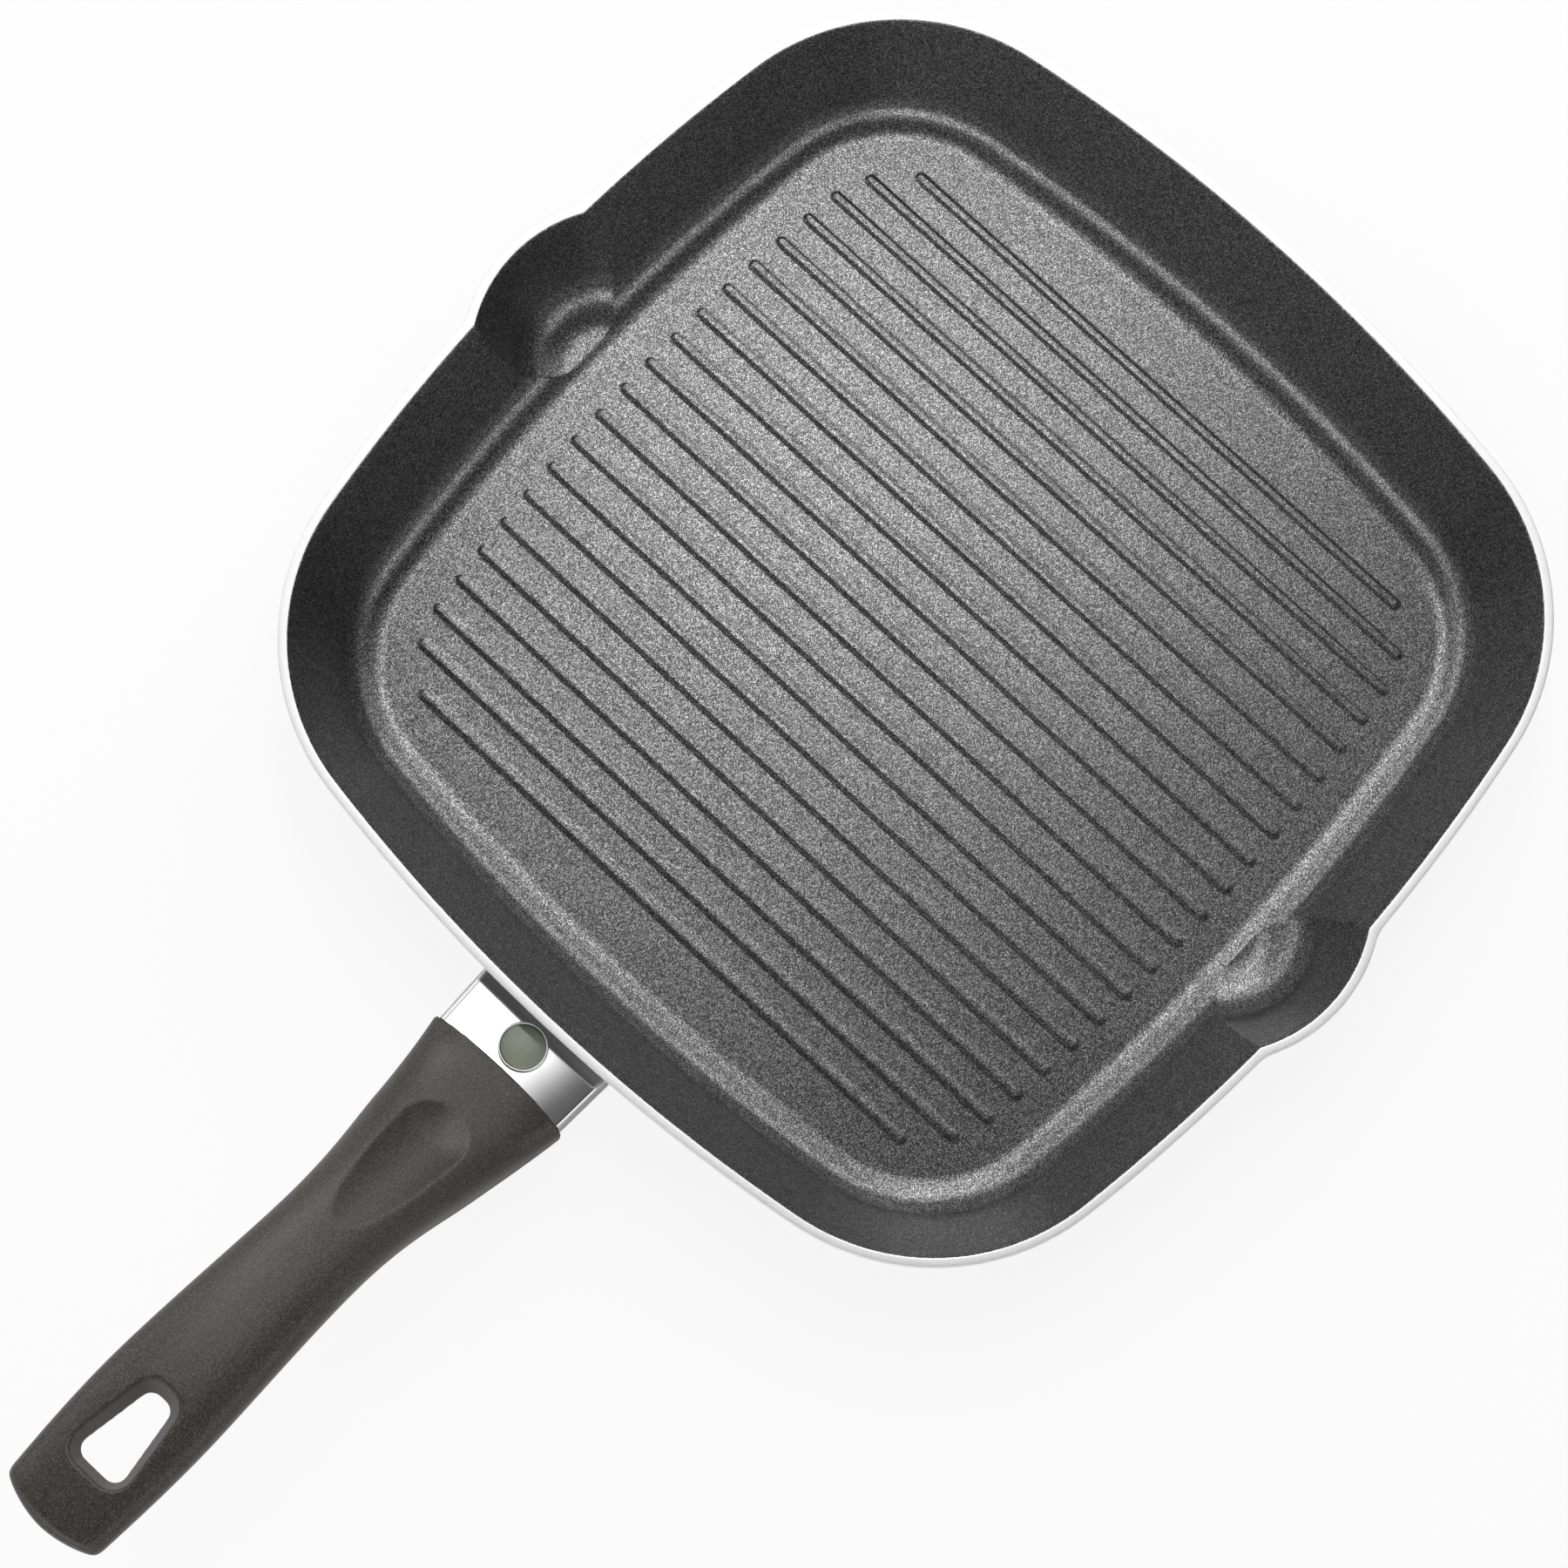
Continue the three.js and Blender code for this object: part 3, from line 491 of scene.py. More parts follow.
def rim_finish():
    """Machined bare aluminium with faint tool marks."""
    finish = Finish("bare_rim", {"Metallic": 1.0})
    marks = finish.noise(1500.0, 3.0, place=finish.stretched(1, 1, 0.2))
    colour = finish.ramp(marks, (0.3, grey(0.9)), (0.7, grey(0.95)))
    finish.feed(Base_Color=colour, Roughness=finish.span(marks, 0.5, 0.62))
    finish.bump(marks, 0.15, 0.02)
    return finish.material


def lacquer_finish():
    """Dark satin lacquer outside, with a slight orange peel."""
    finish = Finish("outer_lacquer", {"Specular IOR Level": 0.5, "Coat Weight": 0.3})
    fine = finish.noise(2600.0)
    colour = finish.ramp(fine, (0.35, grey(0.022)), (0.72, grey(0.04)))
    finish.feed(Base_Color=colour, Roughness=finish.span(finish.noise(90.0), 0.3, 0.38))
    finish.bump(finish.noise(420.0, 1.0), 0.12, 0.05)
    return finish.material


def turned_base_finish():
    """Bare turned aluminium: fine rings round the middle of the base."""
    finish = Finish("turned_base", {"Metallic": 1.0, "Anisotropic": 0.5})
    wave = {"Vector": finish.place, "Scale": 420.0, "Distortion": 0.6, "Detail": 2.0}
    rings = finish.node("TexWave", wave, out="Fac", wave_type="RINGS", rings_direction="Z")
    worn = finish.noise(45.0, 4.0)
    colour = finish.ramp(worn, (0.3, grey(0.58, 0.01)), (0.7, grey(0.7, 0.01)))
    finish.feed(Base_Color=colour, Roughness=finish.span(worn, 0.26, 0.4))
    finish.bump(rings, 0.25, 0.03)
    return finish.material


def polished_finish():
    """Mirror-polished steel with a trace of haze."""
    finish = Finish("polished_steel", {"Metallic": 1.0})
    haze = finish.noise(60.0, 4.0)
    colour = finish.ramp(haze, (0.3, grey(0.78)), (0.7, grey(0.84)))
    finish.feed(Base_Color=colour, Roughness=finish.span(haze, 0.06, 0.1))
    return finish.material


def satin_finish():
    """Satin steel of the ring round the window."""
    finish = Finish("satin_steel", {"Metallic": 1.0})
    haze = finish.noise(900.0, 3.0)
    colour = finish.ramp(haze, (0.3, grey(0.92)), (0.7, grey(0.97)))
    finish.feed(Base_Color=colour, Roughness=finish.span(haze, 0.42, 0.5))
    return finish.material


def phenolic_finish():
    """Moulded phenolic: warm dark grey with a fine satin grain."""
    finish = Finish("phenolic", {"Specular IOR Level": 0.5})
    grain = finish.noise(2600.0, 2.0, 0.6)
    dark, middle, light = (grey(level, 0.13) for level in (0.016, 0.038, 0.095))
    colour = finish.ramp(grain, (0.35, dark), (0.5, middle), (0.68, light))
    finish.feed(Base_Color=colour, Roughness=finish.span(grain, 0.32, 0.42))
    finish.bump(grain, 0.5, 0.06)
    return finish.material


def ink_finish():
    """Thermochromic ink, a dull green, a little uneven."""
    finish = Finish("thermochromic_ink", {"Roughness": 0.5})
    cloud = finish.noise(500.0, 3.0)
    finish.feed(Base_Color=finish.ramp(cloud, (0.3, (0.19, 0.22, 0.08)), (0.7, (0.21, 0.245, 0.1))))
    return finish.material


def window_finish():
    """Clear, flat and glossy, with the faintest haze."""
    tint = (0.97, 0.99, 0.96, 1)
    finish = Finish("clear_window", {"Transmission Weight": 1.0, "IOR": 1.5, "Base Color": tint})
    finish.feed(Roughness=finish.span(finish.noise(150.0), 0.0, 0.02))
    return finish.material


def zinc_finish():
    """Bright zinc plate."""
    finish = Finish("zinc_plate", {"Metallic": 1.0})
    cloud = finish.noise(700.0, 4.0)
    colour = finish.ramp(cloud, (0.3, (0.5, 0.51, 0.52)), (0.7, (0.62, 0.63, 0.63)))
    finish.feed(Base_Color=colour, Roughness=finish.span(cloud, 0.22, 0.36))
    return finish.material


def mill_finish():
    """Plain rolled aluminium with drawn lines."""
    finish = Finish("mill_aluminium", {"Metallic": 1.0})
    lines = finish.noise(120.0, 3.0, place=finish.stretched(1, 14, 14))
    colour = finish.ramp(lines, (0.3, grey(0.62)), (0.7, grey(0.74)))
    finish.feed(Base_Color=colour, Roughness=finish.span(lines, 0.3, 0.46))
    finish.bump(lines, 0.1, 0.03)
    return finish.material


def silicone_finish():
    """Dull dark silicone."""
    finish = Finish("silicone", {})
    dust = finish.noise(900.0, 3.0)
    colour = finish.ramp(dust, (0.3, grey(0.02)), (0.7, grey(0.03)))
    finish.feed(Base_Color=colour, Roughness=finish.span(dust, 0.7, 0.85))
    return finish.material


COATING = coating_finish()
RIM_METAL = rim_finish()
LACQUER = lacquer_finish()
TURNED_BASE = turned_base_finish()
POLISHED = polished_finish()
SATIN = satin_finish()
PHENOLIC = phenolic_finish()
INK = ink_finish()
WINDOW = window_finish()
ZINC = zinc_finish()
MILL = mill_finish()
SILICONE = silicone_finish()


# Plan outline of the pan

def square_outline(half, side_radius, corner_radius):
    """A square with bowed sides and round corners; half is the centre to the middle of a side."""
    side_centre = half - side_radius
    span = side_radius - corner_radius
    corner_centre = (side_centre + math.sqrt(2 * span**2 - side_centre**2)) / 2
    joint = math.atan2(corner_centre, corner_centre - side_centre)
    return SimpleNamespace(
        side_radius=side_radius,
        corner_radius=corner_radius,
        side_centre=side_centre,
        corner_centre=corner_centre,
        joint=joint,
    )


def foot_inset(floor, outset, fillet):
    """How far in from the rim a face of the wall meets its floor."""
    corner = (RIM_HEIGHT - floor) * math.tan(WALL_LEAN) - outset
    return corner + fillet * math.tan((math.pi / 2 - WALL_LEAN) / 2)


FLOOR_INSET = foot_inset(FLOOR_THICKNESS, 0.0, FLOOR_FILLET)


def plan_at(inset):
    """The pan's inside, a given distance in from the rim."""
    share = inset / FLOOR_INSET
    return square_outline(
        RIM_HALF - inset,
        lerp(RIM_SIDE_RADIUS, FLOOR_SIDE_RADIUS, share),
        lerp(RIM_CORNER_RADIUS, FLOOR_CORNER_RADIUS, share),
    )


class WallFace:
    """One face of the pan's wall, inside or outside: its inset and its spouts at every height."""

    def __init__(self, floor, outset, fillet, spout_fillet, blend):
        self.floor, self.outset, self.fillet = floor, outset, fillet
        self.spout_fillet, self.blend = spout_fillet, blend
        self.floor_inset = foot_inset(floor, outset, fillet)
        self.fillet_top = floor + fillet * (1 - math.sin(WALL_LEAN))
        self.shelf = floor + SPOUT_SHELF_RISE
        self.rim_reach = RIM_HALF + SPOUT_RIM_BULGE + outset
        self.foot_reach = RIM_HALF - SPOUT_FOOT_INSET + outset
        self.foot_radius = SPOUT_FOOT_RADIUS + outset
        self.steepness = math.atan2(RIM_HEIGHT - self.shelf, self.rim_reach - self.foot_reach)
        self.foot_top = self.shelf + spout_fillet * (1 - math.cos(self.steepness))
        self.shelf_angle = self.spout_edge(self.shelf).side_angle

    def inset(self, z):
        if z >= self.fillet_top:
            return (RIM_HEIGHT - z) * math.tan(WALL_LEAN) - self.outset
        return self.floor_inset - other_leg(self.fillet, self.fillet - z + self.floor)

    def outline(self, z):
        return plan_at(self.inset(z) + self.outset)

    def spout_circle(self, z):
        """The pocket is round at every height."""
        if z >= self.foot_top:
            share = (z - self.foot_top) / (RIM_HEIGHT - self.foot_top)
            radius = lerp(self.foot_radius, SPOUT_RIM_RADIUS + self.outset, share)
            return radius, lerp(self.foot_reach, self.rim_reach, share) - radius
        level = other_leg(self.spout_fillet, self.spout_fillet - z + self.shelf)
        radius = self.foot_radius - self.spout_fillet * math.sin(self.steepness) + level
        return radius, self.foot_reach - self.foot_radius

    def spout_edge(self, z):
        """Where the pocket runs out into the side, with a fillet in the notch between them."""
        radius, centre = self.spout_circle(z)
        plan = self.outline(z)
        side = plan.side_radius + self.outset + self.blend
        apart = centre - plan.side_centre
        along = (side**2 - (radius + self.blend) ** 2 + apart**2) / (2 * apart)
        across = other_leg(side, along)
        return SimpleNamespace(
            radius=radius,
            centre=centre,
            notch=(across, plan.side_centre + along),
            side_angle=math.atan2(across, along),
            spout_angle=math.atan2(across, along - apart),
        )

    def quarter(self, z, extra, with_spout):
        """A quarter of the outline at one height, from the +X side to the middle of the +Y side."""
        plan = self.outline(z)
        side = plan.side_radius + self.outset - extra
        corner = plan.corner_radius + self.outset - extra
        points = []
        for i in range(SIDE_STEPS):
            a = plan.joint * i / SIDE_STEPS
            points.append((plan.side_centre + side * math.cos(a), side * math.sin(a)))
        for i in range(CORNER_STEPS):
            a = lerp(plan.joint, math.pi / 2 - plan.joint, i / CORNER_STEPS)
            centre = plan.corner_centre
            points.append((centre + corner * math.cos(a), centre + corner * math.sin(a)))
        edge = self.spout_edge(z) if with_spout else None
        side_end = edge.side_angle if with_spout else self.shelf_angle
        for i in range(SIDE_STEPS):
            a = lerp(plan.joint, side_end, i / SIDE_STEPS)
            points.append((side * math.sin(a), plan.side_centre + side * math.cos(a)))
        if not with_spout:
            steps = BLEND_STEPS + SPOUT_STEPS
            for i in range(steps + 1):
                a = side_end * (1 - i / steps)
                points.append((side * math.sin(a), plan.side_centre + side * math.cos(a)))
            return points
        for i in range(BLEND_STEPS):
            a = lerp(edge.side_angle, edge.spout_angle, i / BLEND_STEPS)
            r = self.blend + extra
            points.append((edge.notch[0] - r * math.sin(a), edge.notch[1] - r * math.cos(a)))
        for i in range(SPOUT_STEPS + 1):
            a = edge.spout_angle * (1 - i / SPOUT_STEPS)
            r = edge.radius - extra
            points.append((r * math.sin(a), edge.centre + r * math.cos(a)))
        return points

    def ring(self, z, extra=0.0, with_spout=True):
        """The whole outline, anticlockwise from above."""
        first = self.quarter(z, extra, with_spout)
        second = [(-x, y) for x, y in first[1:-1]][::-1]
        upper = first + second
        return np.array([(x, y, z) for x, y in upper] + [(-x, -y, z) for x, y in upper])

    def rings(self, top):
        """Rings from the floor up to a height, across the spouts' shelves on the way."""

        def up_fillet(start, radius, turn):
            return [start + radius * (1 - math.cos(a)) for a in np.linspace(0, turn, FILLET_STEPS)]

        fillet = up_fillet(self.floor, self.fillet, math.pi / 2 - WALL_LEAN)
        pocket = up_fillet(self.shelf, self.spout_fillet, self.steepness)
        wall = list(np.linspace(max(self.fillet_top, self.foot_top), top, WALL_STEPS))
        below = [z for z in fillet if z < self.shelf - RING_SPACING]
        above = []
        for z in sorted(fillet + pocket + wall):
            if z > (above[-1] if above else self.shelf) + RING_SPACING:
                above.append(z)
        front = self.ring(self.shelf, with_spout=False)
        back = self.ring(self.shelf)
        return [
            *[self.ring(z, with_spout=False) for z in below],
            front,
            *[lerp(front, back, share) for share in SHELF_SHARES],
            back,
            *[self.ring(z) for z in above],
        ]


INSIDE = WallFace(FLOOR_THICKNESS, 0.0, FLOOR_FILLET, SPOUT_FILLET, SPOUT_INNER_BLEND)
OUTSIDE = WallFace(0.0, WALL_THICKNESS, BASE_FILLET, SPOUT_FILLET + WALL_THICKNESS, SPOUT_OUTER_BLEND)


# Pan body

def rib_rings(x, half_length):
    """The rib's skin from the floor beside it to the crown, as rings of its outline."""
    run = (RIB_WIDTH - RIB_CROWN) / 2
    slope = 2 * math.atan2(RIB_HEIGHT, run)
    radius = run / (2 * math.sin(slope))
    steep = math.degrees(slope)
    profile = [(EDGE_GUARD, 0.0)]
    profile += arc((0, radius), radius, -90, -90 - steep, RIB_FLANK_STEPS)
    profile += arc((-run, RIB_HEIGHT - radius), radius, 90 - steep, 90, RIB_FLANK_STEPS)[1:]
    end = half_length - RIB_WIDTH / 2
    rings = []
    for offset, z in profile:
        outline = rounded_polygon([(x, -end), (x, end)], RIB_WIDTH / 2 + offset, RIB_END_STEPS)
        rings.append([(px, py, FLOOR_THICKNESS + z) for px, py in outline])
    return rings


def rib_field():
    """The rings of every rib, whose ends follow a smaller bowed square."""
    half = RIM_HALF - INSIDE.floor_inset - RIB_MARGIN
    field = square_outline(half, RIB_FIELD_SIDE_RADIUS, RIB_FIELD_CORNER_RADIUS)
    side_end = field.side_radius * math.sin(field.joint)
    per_side = math.floor((half - RIB_END_MARGIN) / RIB_PITCH)
    ribs = []
    for i in range(-per_side, per_side + 1):
        x = i * RIB_PITCH
        if abs(x) < side_end:
            half_length = field.side_centre + other_leg(field.side_radius, x)
        else:
            into_corner = abs(x) - field.corner_centre
            half_length = field.corner_centre + other_leg(field.corner_radius, into_corner)
        ribs.append(rib_rings(x, half_length))
    return ribs


def pan_body():
    skin = Skin(COATING, RIM_METAL, LACQUER, TURNED_BASE)
    floor_edge = INSIDE.ring(FLOOR_THICKNESS, EDGE_GUARD, with_spout=False)
    inner = [floor_edge, *INSIDE.rings(RIM_HEIGHT - RIM_INNER_EDGE)]
    rounding = []
    for u, v in arc((0, 0), RIM_INNER_EDGE, 180, 90, EDGE_STEPS):
        z = RIM_HEIGHT - RIM_INNER_EDGE + v
        rounding.append(INSIDE.ring(z, -RIM_INNER_EDGE - u))
    half_way = len(rounding) // 2
    skin.loft([*inner, *rounding[: half_way + 1]], COATING)
    outer_edge = []
    for u, v in arc((0, 0), RIM_OUTER_EDGE, 90, 0, EDGE_STEPS):
        z = RIM_HEIGHT - RIM_OUTER_EDGE + v
        outer_edge.append(OUTSIDE.ring(z, RIM_OUTER_EDGE - u))
    skin.loft([*rounding[half_way:], *outer_edge], RIM_METAL)
    base_edge = OUTSIDE.ring(0, EDGE_GUARD, with_spout=False)
    base = OUTSIDE.ring(0, BASE_MARGIN, with_spout=False)
    outer = OUTSIDE.rings(RIM_HEIGHT - RIM_OUTER_EDGE)
    skin.loft([base, base_edge, *outer], LACQUER)
    skin.cap(base, TURNED_BASE)
    ribs = rib_field()
    for rings in ribs:
        skin.loft(rings, COATING)
        skin.cap(rings[-1], COATING)
    skin.patch(floor_edge, [rings[0] for rings in ribs], FLOOR_THICKNESS, COATING)
    return skin.object("ribbed_pan")


dress(pan_body(), "pan", "pan_body")


# Handle frame: X runs out along the axis of the flame guard, Z is square to its top

WALL_AT_AXIS = RIM_HALF + WALL_THICKNESS - (RIM_HEIGHT - GUARD_LEVEL) * math.tan(WALL_LEAN)
TILT_COS, TILT_SIN = math.cos(GUARD_TILT), math.sin(GUARD_TILT)
HANDLE = Matrix((
    (-TILT_COS, 0, TILT_SIN, -WALL_AT_AXIS),
    (0, -1, 0, 0),
    (TILT_SIN, 0, TILT_COS, GUARD_LEVEL),
    (0, 0, 0, 1),
))

GUARD_TOP = GUARD_THICKNESS / 2
BAR_TOP = TANG_THICKNESS / 2 + GAP + CONDUCTOR_THICKNESS
BEZEL_BOTTOM = GUARD_TOP + GAP
BEZEL_TOP = BEZEL_BOTTOM + BEZEL_RISE
WINDOW_TOP = BEZEL_TOP - WINDOW_RECESS
WINDOW_BOTTOM = WINDOW_TOP - WINDOW_THICKNESS
DISC_TOP = WINDOW_BOTTOM - GAP
DISC_BOTTOM = DISC_TOP - DISC_THICKNESS
WINDOW_RADIUS = WINDOW_DIAMETER / 2
BEZEL_BORE = WINDOW_RADIUS + WINDOW_FIT
BEZEL_NECK = BEZEL_BORE + BEZEL_SHEATH
INDICATOR_X = GUARD_REACH - INDICATOR_SETBACK
AT_INDICATOR = HANDLE @ Matrix.Translation((INDICATOR_X, 0, 0))


# Flame guard

def guard_outline(x, inset):
    """The sleeve's section at one place along its axis, with a slightly crowned top and bottom."""
    half = lerp(GUARD_WIDTH, GUARD_REAR_WIDTH, x / GUARD_REACH) / 2
    width, height = half - GUARD_CORNER, GUARD_TOP - GUARD_CORNER
    across = np.linspace(-1, 1, GUARD_TOP_STEPS + 1)[1:-1]
    rounded = rounded_polygon(rectangle(width, height), GUARD_CORNER - inset, GUARD_CORNER_STEPS)
    quarter = len(rounded) // 4
    level = GUARD_TOP - inset
    bottom = [(width * t, -level) for t in across]
    top = [(-width * t, level) for t in across]
    outline = rounded[:quarter] + bottom + rounded[quarter : 3 * quarter] + top + rounded[3 * quarter :]
    crowned = []
    for y, z in outline:
        crown = GUARD_CROWN * ((y / half) ** 2) * abs(z) / level
        crowned.append((y, z - math.copysign(crown, z)))
    return crowned


def wall_contact(y, z):
    """Where a line along the handle's axis meets the outside of the wall, less the clearance."""
    low, high = -GUARD_THICKNESS, GUARD_REACH
    for _ in range(HALVINGS):
        middle = (low + high) / 2
        point = HANDLE @ Vector((middle, y, z))
        plan = OUTSIDE.outline(point.z)
        reach = plan.side_radius + WALL_THICKNESS + GAP
        inside = -point.x < plan.side_centre + other_leg(reach, point.y)
        low, high = (middle, high) if inside else (low, middle)
    return high


def flame_guard():
    steps = np.linspace(0, 1, GUARD_LENGTH_STEPS + 1)
    rear = GUARD_REACH - GAP

    def rings(inset):
        start = [wall_contact(y, z) for y, z in guard_outline(0, inset)]
        made = []
        for share in steps:
            ring = []
            for i, x0 in enumerate(start):
                x = lerp(x0, rear, share)
                y, z = guard_outline(x, inset)[i]
                ring.append((x, y, z))
            made.append(ring)
        return made

    outer, inner = rings(0.0), rings(GUARD_SHEET)
    skin = Skin(POLISHED)
    skin.loft([*outer, *inner[::-1], outer[0]], POLISHED)
    piece = skin.object("guard_sleeve", HANDLE, CREASE)
    hole = lofted_rod("guard_hole", BEZEL_NECK + GAP, 0, GUARD_TOP + OVERSHOOT, AT_INDICATOR)
    return sharpen(cut(piece, hole))


def lofted_rod(name, radius, bottom, top, matrix):
    return lofted(name, [circle(radius, bottom), circle(radius, top)], POLISHED, matrix)


dress(flame_guard(), "guard", "flame_guard")


# Heat indicator

def indicator():
    outer = BEZEL_NECK + GAP + BEZEL_LAP
    round_top = (outer - BEZEL_BORE) / 2
    bezel = [
        (BEZEL_BORE, BAR_TOP + GAP),
        (BEZEL_NECK, BAR_TOP + GAP),
        (BEZEL_NECK, BEZEL_BOTTOM),
        (outer, BEZEL_BOTTOM),
        *arc(((outer + BEZEL_BORE) / 2, BEZEL_TOP - round_top), round_top, 0, 180, BEZEL_STEPS),
        (BEZEL_BORE, BAR_TOP + GAP),
    ]
    dress(turned("bezel_ring", bezel, SATIN, AT_INDICATOR), "guard", "indicator_bezel")
    edge = WINDOW_EDGE
    window = [
        (0, WINDOW_BOTTOM),
        (WINDOW_RADIUS, WINDOW_BOTTOM),
        *arc((WINDOW_RADIUS - edge, WINDOW_TOP - edge), edge, 0, 90, WINDOW_EDGE_STEPS),
        (0, WINDOW_TOP),
    ]
    dress(turned("clear_window", window, WINDOW, AT_INDICATOR), "window", "indicator_window")
    disc = [
        (0, DISC_BOTTOM),
        (WINDOW_RADIUS, DISC_BOTTOM),
        (WINDOW_RADIUS, DISC_TOP),
        (0, DISC_TOP),
    ]
    dress(turned("colour_disc", disc, INK, AT_INDICATOR), "indicator", "thermochromic_disc")


indicator()


# Handle grip

FRONT_WIDTH = GUARD_REAR_WIDTH + 2 * GRIP_SIDE_STEP
FRONT_THICKNESS = GUARD_THICKNESS + 2 * GRIP_TOP_STEP


def bezier(t):
    """The grip's centreline and its direction in the handle frame: X along the guard, Z above it."""
    points = np.array([
        (GUARD_REACH, 0),
        (GUARD_REACH + GRIP_START_PULL, 0),
        (GUARD_REACH + GRIP_BEND_REACH, GRIP_BEND_RISE),
        (GUARD_REACH + GRIP_LENGTH, GRIP_RISE),
    ])
    weights = np.array([(1 - t) ** 3, 3 * t * (1 - t) ** 2, 3 * t * t * (1 - t), t**3])
    legs = np.diff(points, axis=0)
    slope = np.array([(1 - t) ** 2, 2 * t * (1 - t), t * t]) @ legs
    return weights @ points, slope / np.linalg.norm(slope)


def catmull(points):
    """A smooth curve through points, looked up by its first axis."""
    points = np.array(points, float)
    last = len(points) - 1

    def at(t):
        place = t * last
        i = min(int(place), last - 1)
        w = place - i
        p1, p2 = points[i], points[i + 1]
        p0 = points[i - 1] if i > 0 else points[i]
        p3 = points[i + 2] if i + 2 <= last else points[last]
        v0, v1 = (p2 - p0) / 2, (p3 - p1) / 2
        cubic = 2 * p1 - 2 * p2 + v0 + v1
        square = -3 * p1 + 3 * p2 - 2 * v0 - v1
        return cubic * w**3 + square * w**2 + v0 * w + p1

    return lambda place: at(bisect(lambda t: at(t)[0], place))[1]


def bisect(rising, value):
    """Where between 0 and 1 a rising function reaches a value."""
    low, high = 0.0, 1.0
    for _ in range(HALVINGS):
        middle = (low + high) / 2
        if rising(middle) < value:
            low = middle
        else:
            high = middle
    return low


GRIP_WIDTH = catmull([
    (0, FRONT_WIDTH),
    (SHOULDER_REACH, SHOULDER_WIDTH),
    (NECK_REACH, NECK_WIDTH),
    (PALM_REACH, PALM_WIDTH),
    (GRIP_LENGTH, END_WIDTH),
])
GRIP_THICKNESS = catmull([
    (0, FRONT_THICKNESS),
    (NECK_REACH, NECK_THICKNESS),
    (PALM_REACH, PALM_THICKNESS),
    (GRIP_LENGTH, END_THICKNESS),
])


def grip_at(place):
    return bezier(bisect(lambda t: bezier(t)[0][0] - GUARD_REACH, place))


def nose_half(distance, radius):
    """Half the width of a round nose at a distance from its tip."""
    return other_leg(radius, max(radius - distance, 0))


def soft_min(a, b, rounding):
    """The smaller of two values, rounded off where they are nearly the same."""
    share = max(rounding - abs(a - b), 0) / rounding
    return min(a, b) - share**2 * rounding / 4


def grip_ring(place):
    centre, along = grip_at(place)
    to_tip = GRIP_LENGTH - place
    nose = nose_half(to_tip, END_RADIUS) if to_tip < END_RADIUS else math.inf
    width = soft_min(GRIP_WIDTH(place) / 2, nose, END_CORNER)
    thickness = GRIP_THICKNESS(place) / 2 - END_EDGE + nose_half(to_tip, END_EDGE)
    power = 2 / lerp(FRONT_SQUARENESS, PALM_SQUARENESS, min(place / NECK_REACH, 1))
    ring = []
    for a in np.linspace(0, 2 * math.pi, SECTION_STEPS, endpoint=False):
        y = width * math.copysign(abs(math.cos(a)) ** power, math.cos(a))
        up = thickness * math.copysign(abs(math.sin(a)) ** power, math.sin(a))
        bow = FRONT_BOW * (1 - (y / width) ** 2) * max(1 - place / FRONT_BOW_REACH, 0)
        ring.append((centre[0] - along[1] * up - bow, y, centre[1] + along[0] * up))
    return ring


def grip_blank():
    places = list(np.linspace(0, GRIP_LENGTH - END_EDGE, GRIP_STEPS, endpoint=False))
    for i in range(END_STEPS):
        places.append(GRIP_LENGTH - END_EDGE * (1 - math.sin(math.pi / 2 * i / END_STEPS)))
    return lofted("grip", [grip_ring(place) for place in places], PHENOLIC, HANDLE)


def turned_to(along):
    """A frame whose X follows a direction in the grip's middle plane."""
    return Matrix.Rotation(-math.atan2(along[1], along[0]), 4, "Y")


def scoop_cutter():
    """A round-nosed bar lying along the top of the grip, sunk into it at its nose."""
    centre, _ = grip_at(SCOOP_REACH)
    _, along = grip_at(SCOOP_REACH + SCOOP_LENGTH / 3)
    lift = GRIP_THICKNESS(SCOOP_REACH) / 2 - SCOOP_DEPTH + SCOOP_RADIUS
    outline = arc((0, 0), SCOOP_RADIUS, 180 - SCOOP_TIP, 90, SCOOP_STEPS)
    outline += arc((SCOOP_LENGTH, 0), SCOOP_RADIUS, 90, SCOOP_TIP, SCOOP_STEPS)
    rings = [[(x, y, z) for y, z, x in circle(radius, along_bar)] for along_bar, radius in outline]
    place = Matrix.Translation((centre[0] - along[1] * lift, 0, centre[1] + along[0] * lift))
    tilt = Matrix.Rotation(-SCOOP_TILT, 4, "Y")
    return lofted("scoop", rings, PHENOLIC, HANDLE @ place @ turned_to(along) @ tilt)


def hole_cutter():
    centre, along = grip_at(GRIP_LENGTH - HOLE_SETBACK)
    half = HOLE_LENGTH / 2 - HOLE_CORNER
    narrow, wide = HOLE_NARROW / 2 - HOLE_CORNER, HOLE_WIDE / 2 - HOLE_CORNER
    corners = [(-half, -narrow), (half, -wide), (half, wide), (-half, narrow)]
    depth = PALM_THICKNESS / 2 + OVERSHOOT
    rings = []
    for z in np.linspace(-depth, depth, HOLE_DEPTH_STEPS + 1):
        radius = HOLE_CORNER + abs(z) * math.tan(HOLE_DRAFT)
        rings.append([(x, y, z) for x, y in rounded_polygon(corners, radius, HOLE_CORNER_STEPS)])
    place = Matrix.Translation((centre[0], 0, centre[1]))
    return lofted("hole", rings, PHENOLIC, HANDLE @ place @ turned_to(along))


def bar(name, start, end, half_width, half_height):
    section = rectangle(half_width, half_height)
    rings = [[(x, y, z) for y, z in section] for x in (start, end)]
    return lofted(name, rings, PHENOLIC, HANDLE)


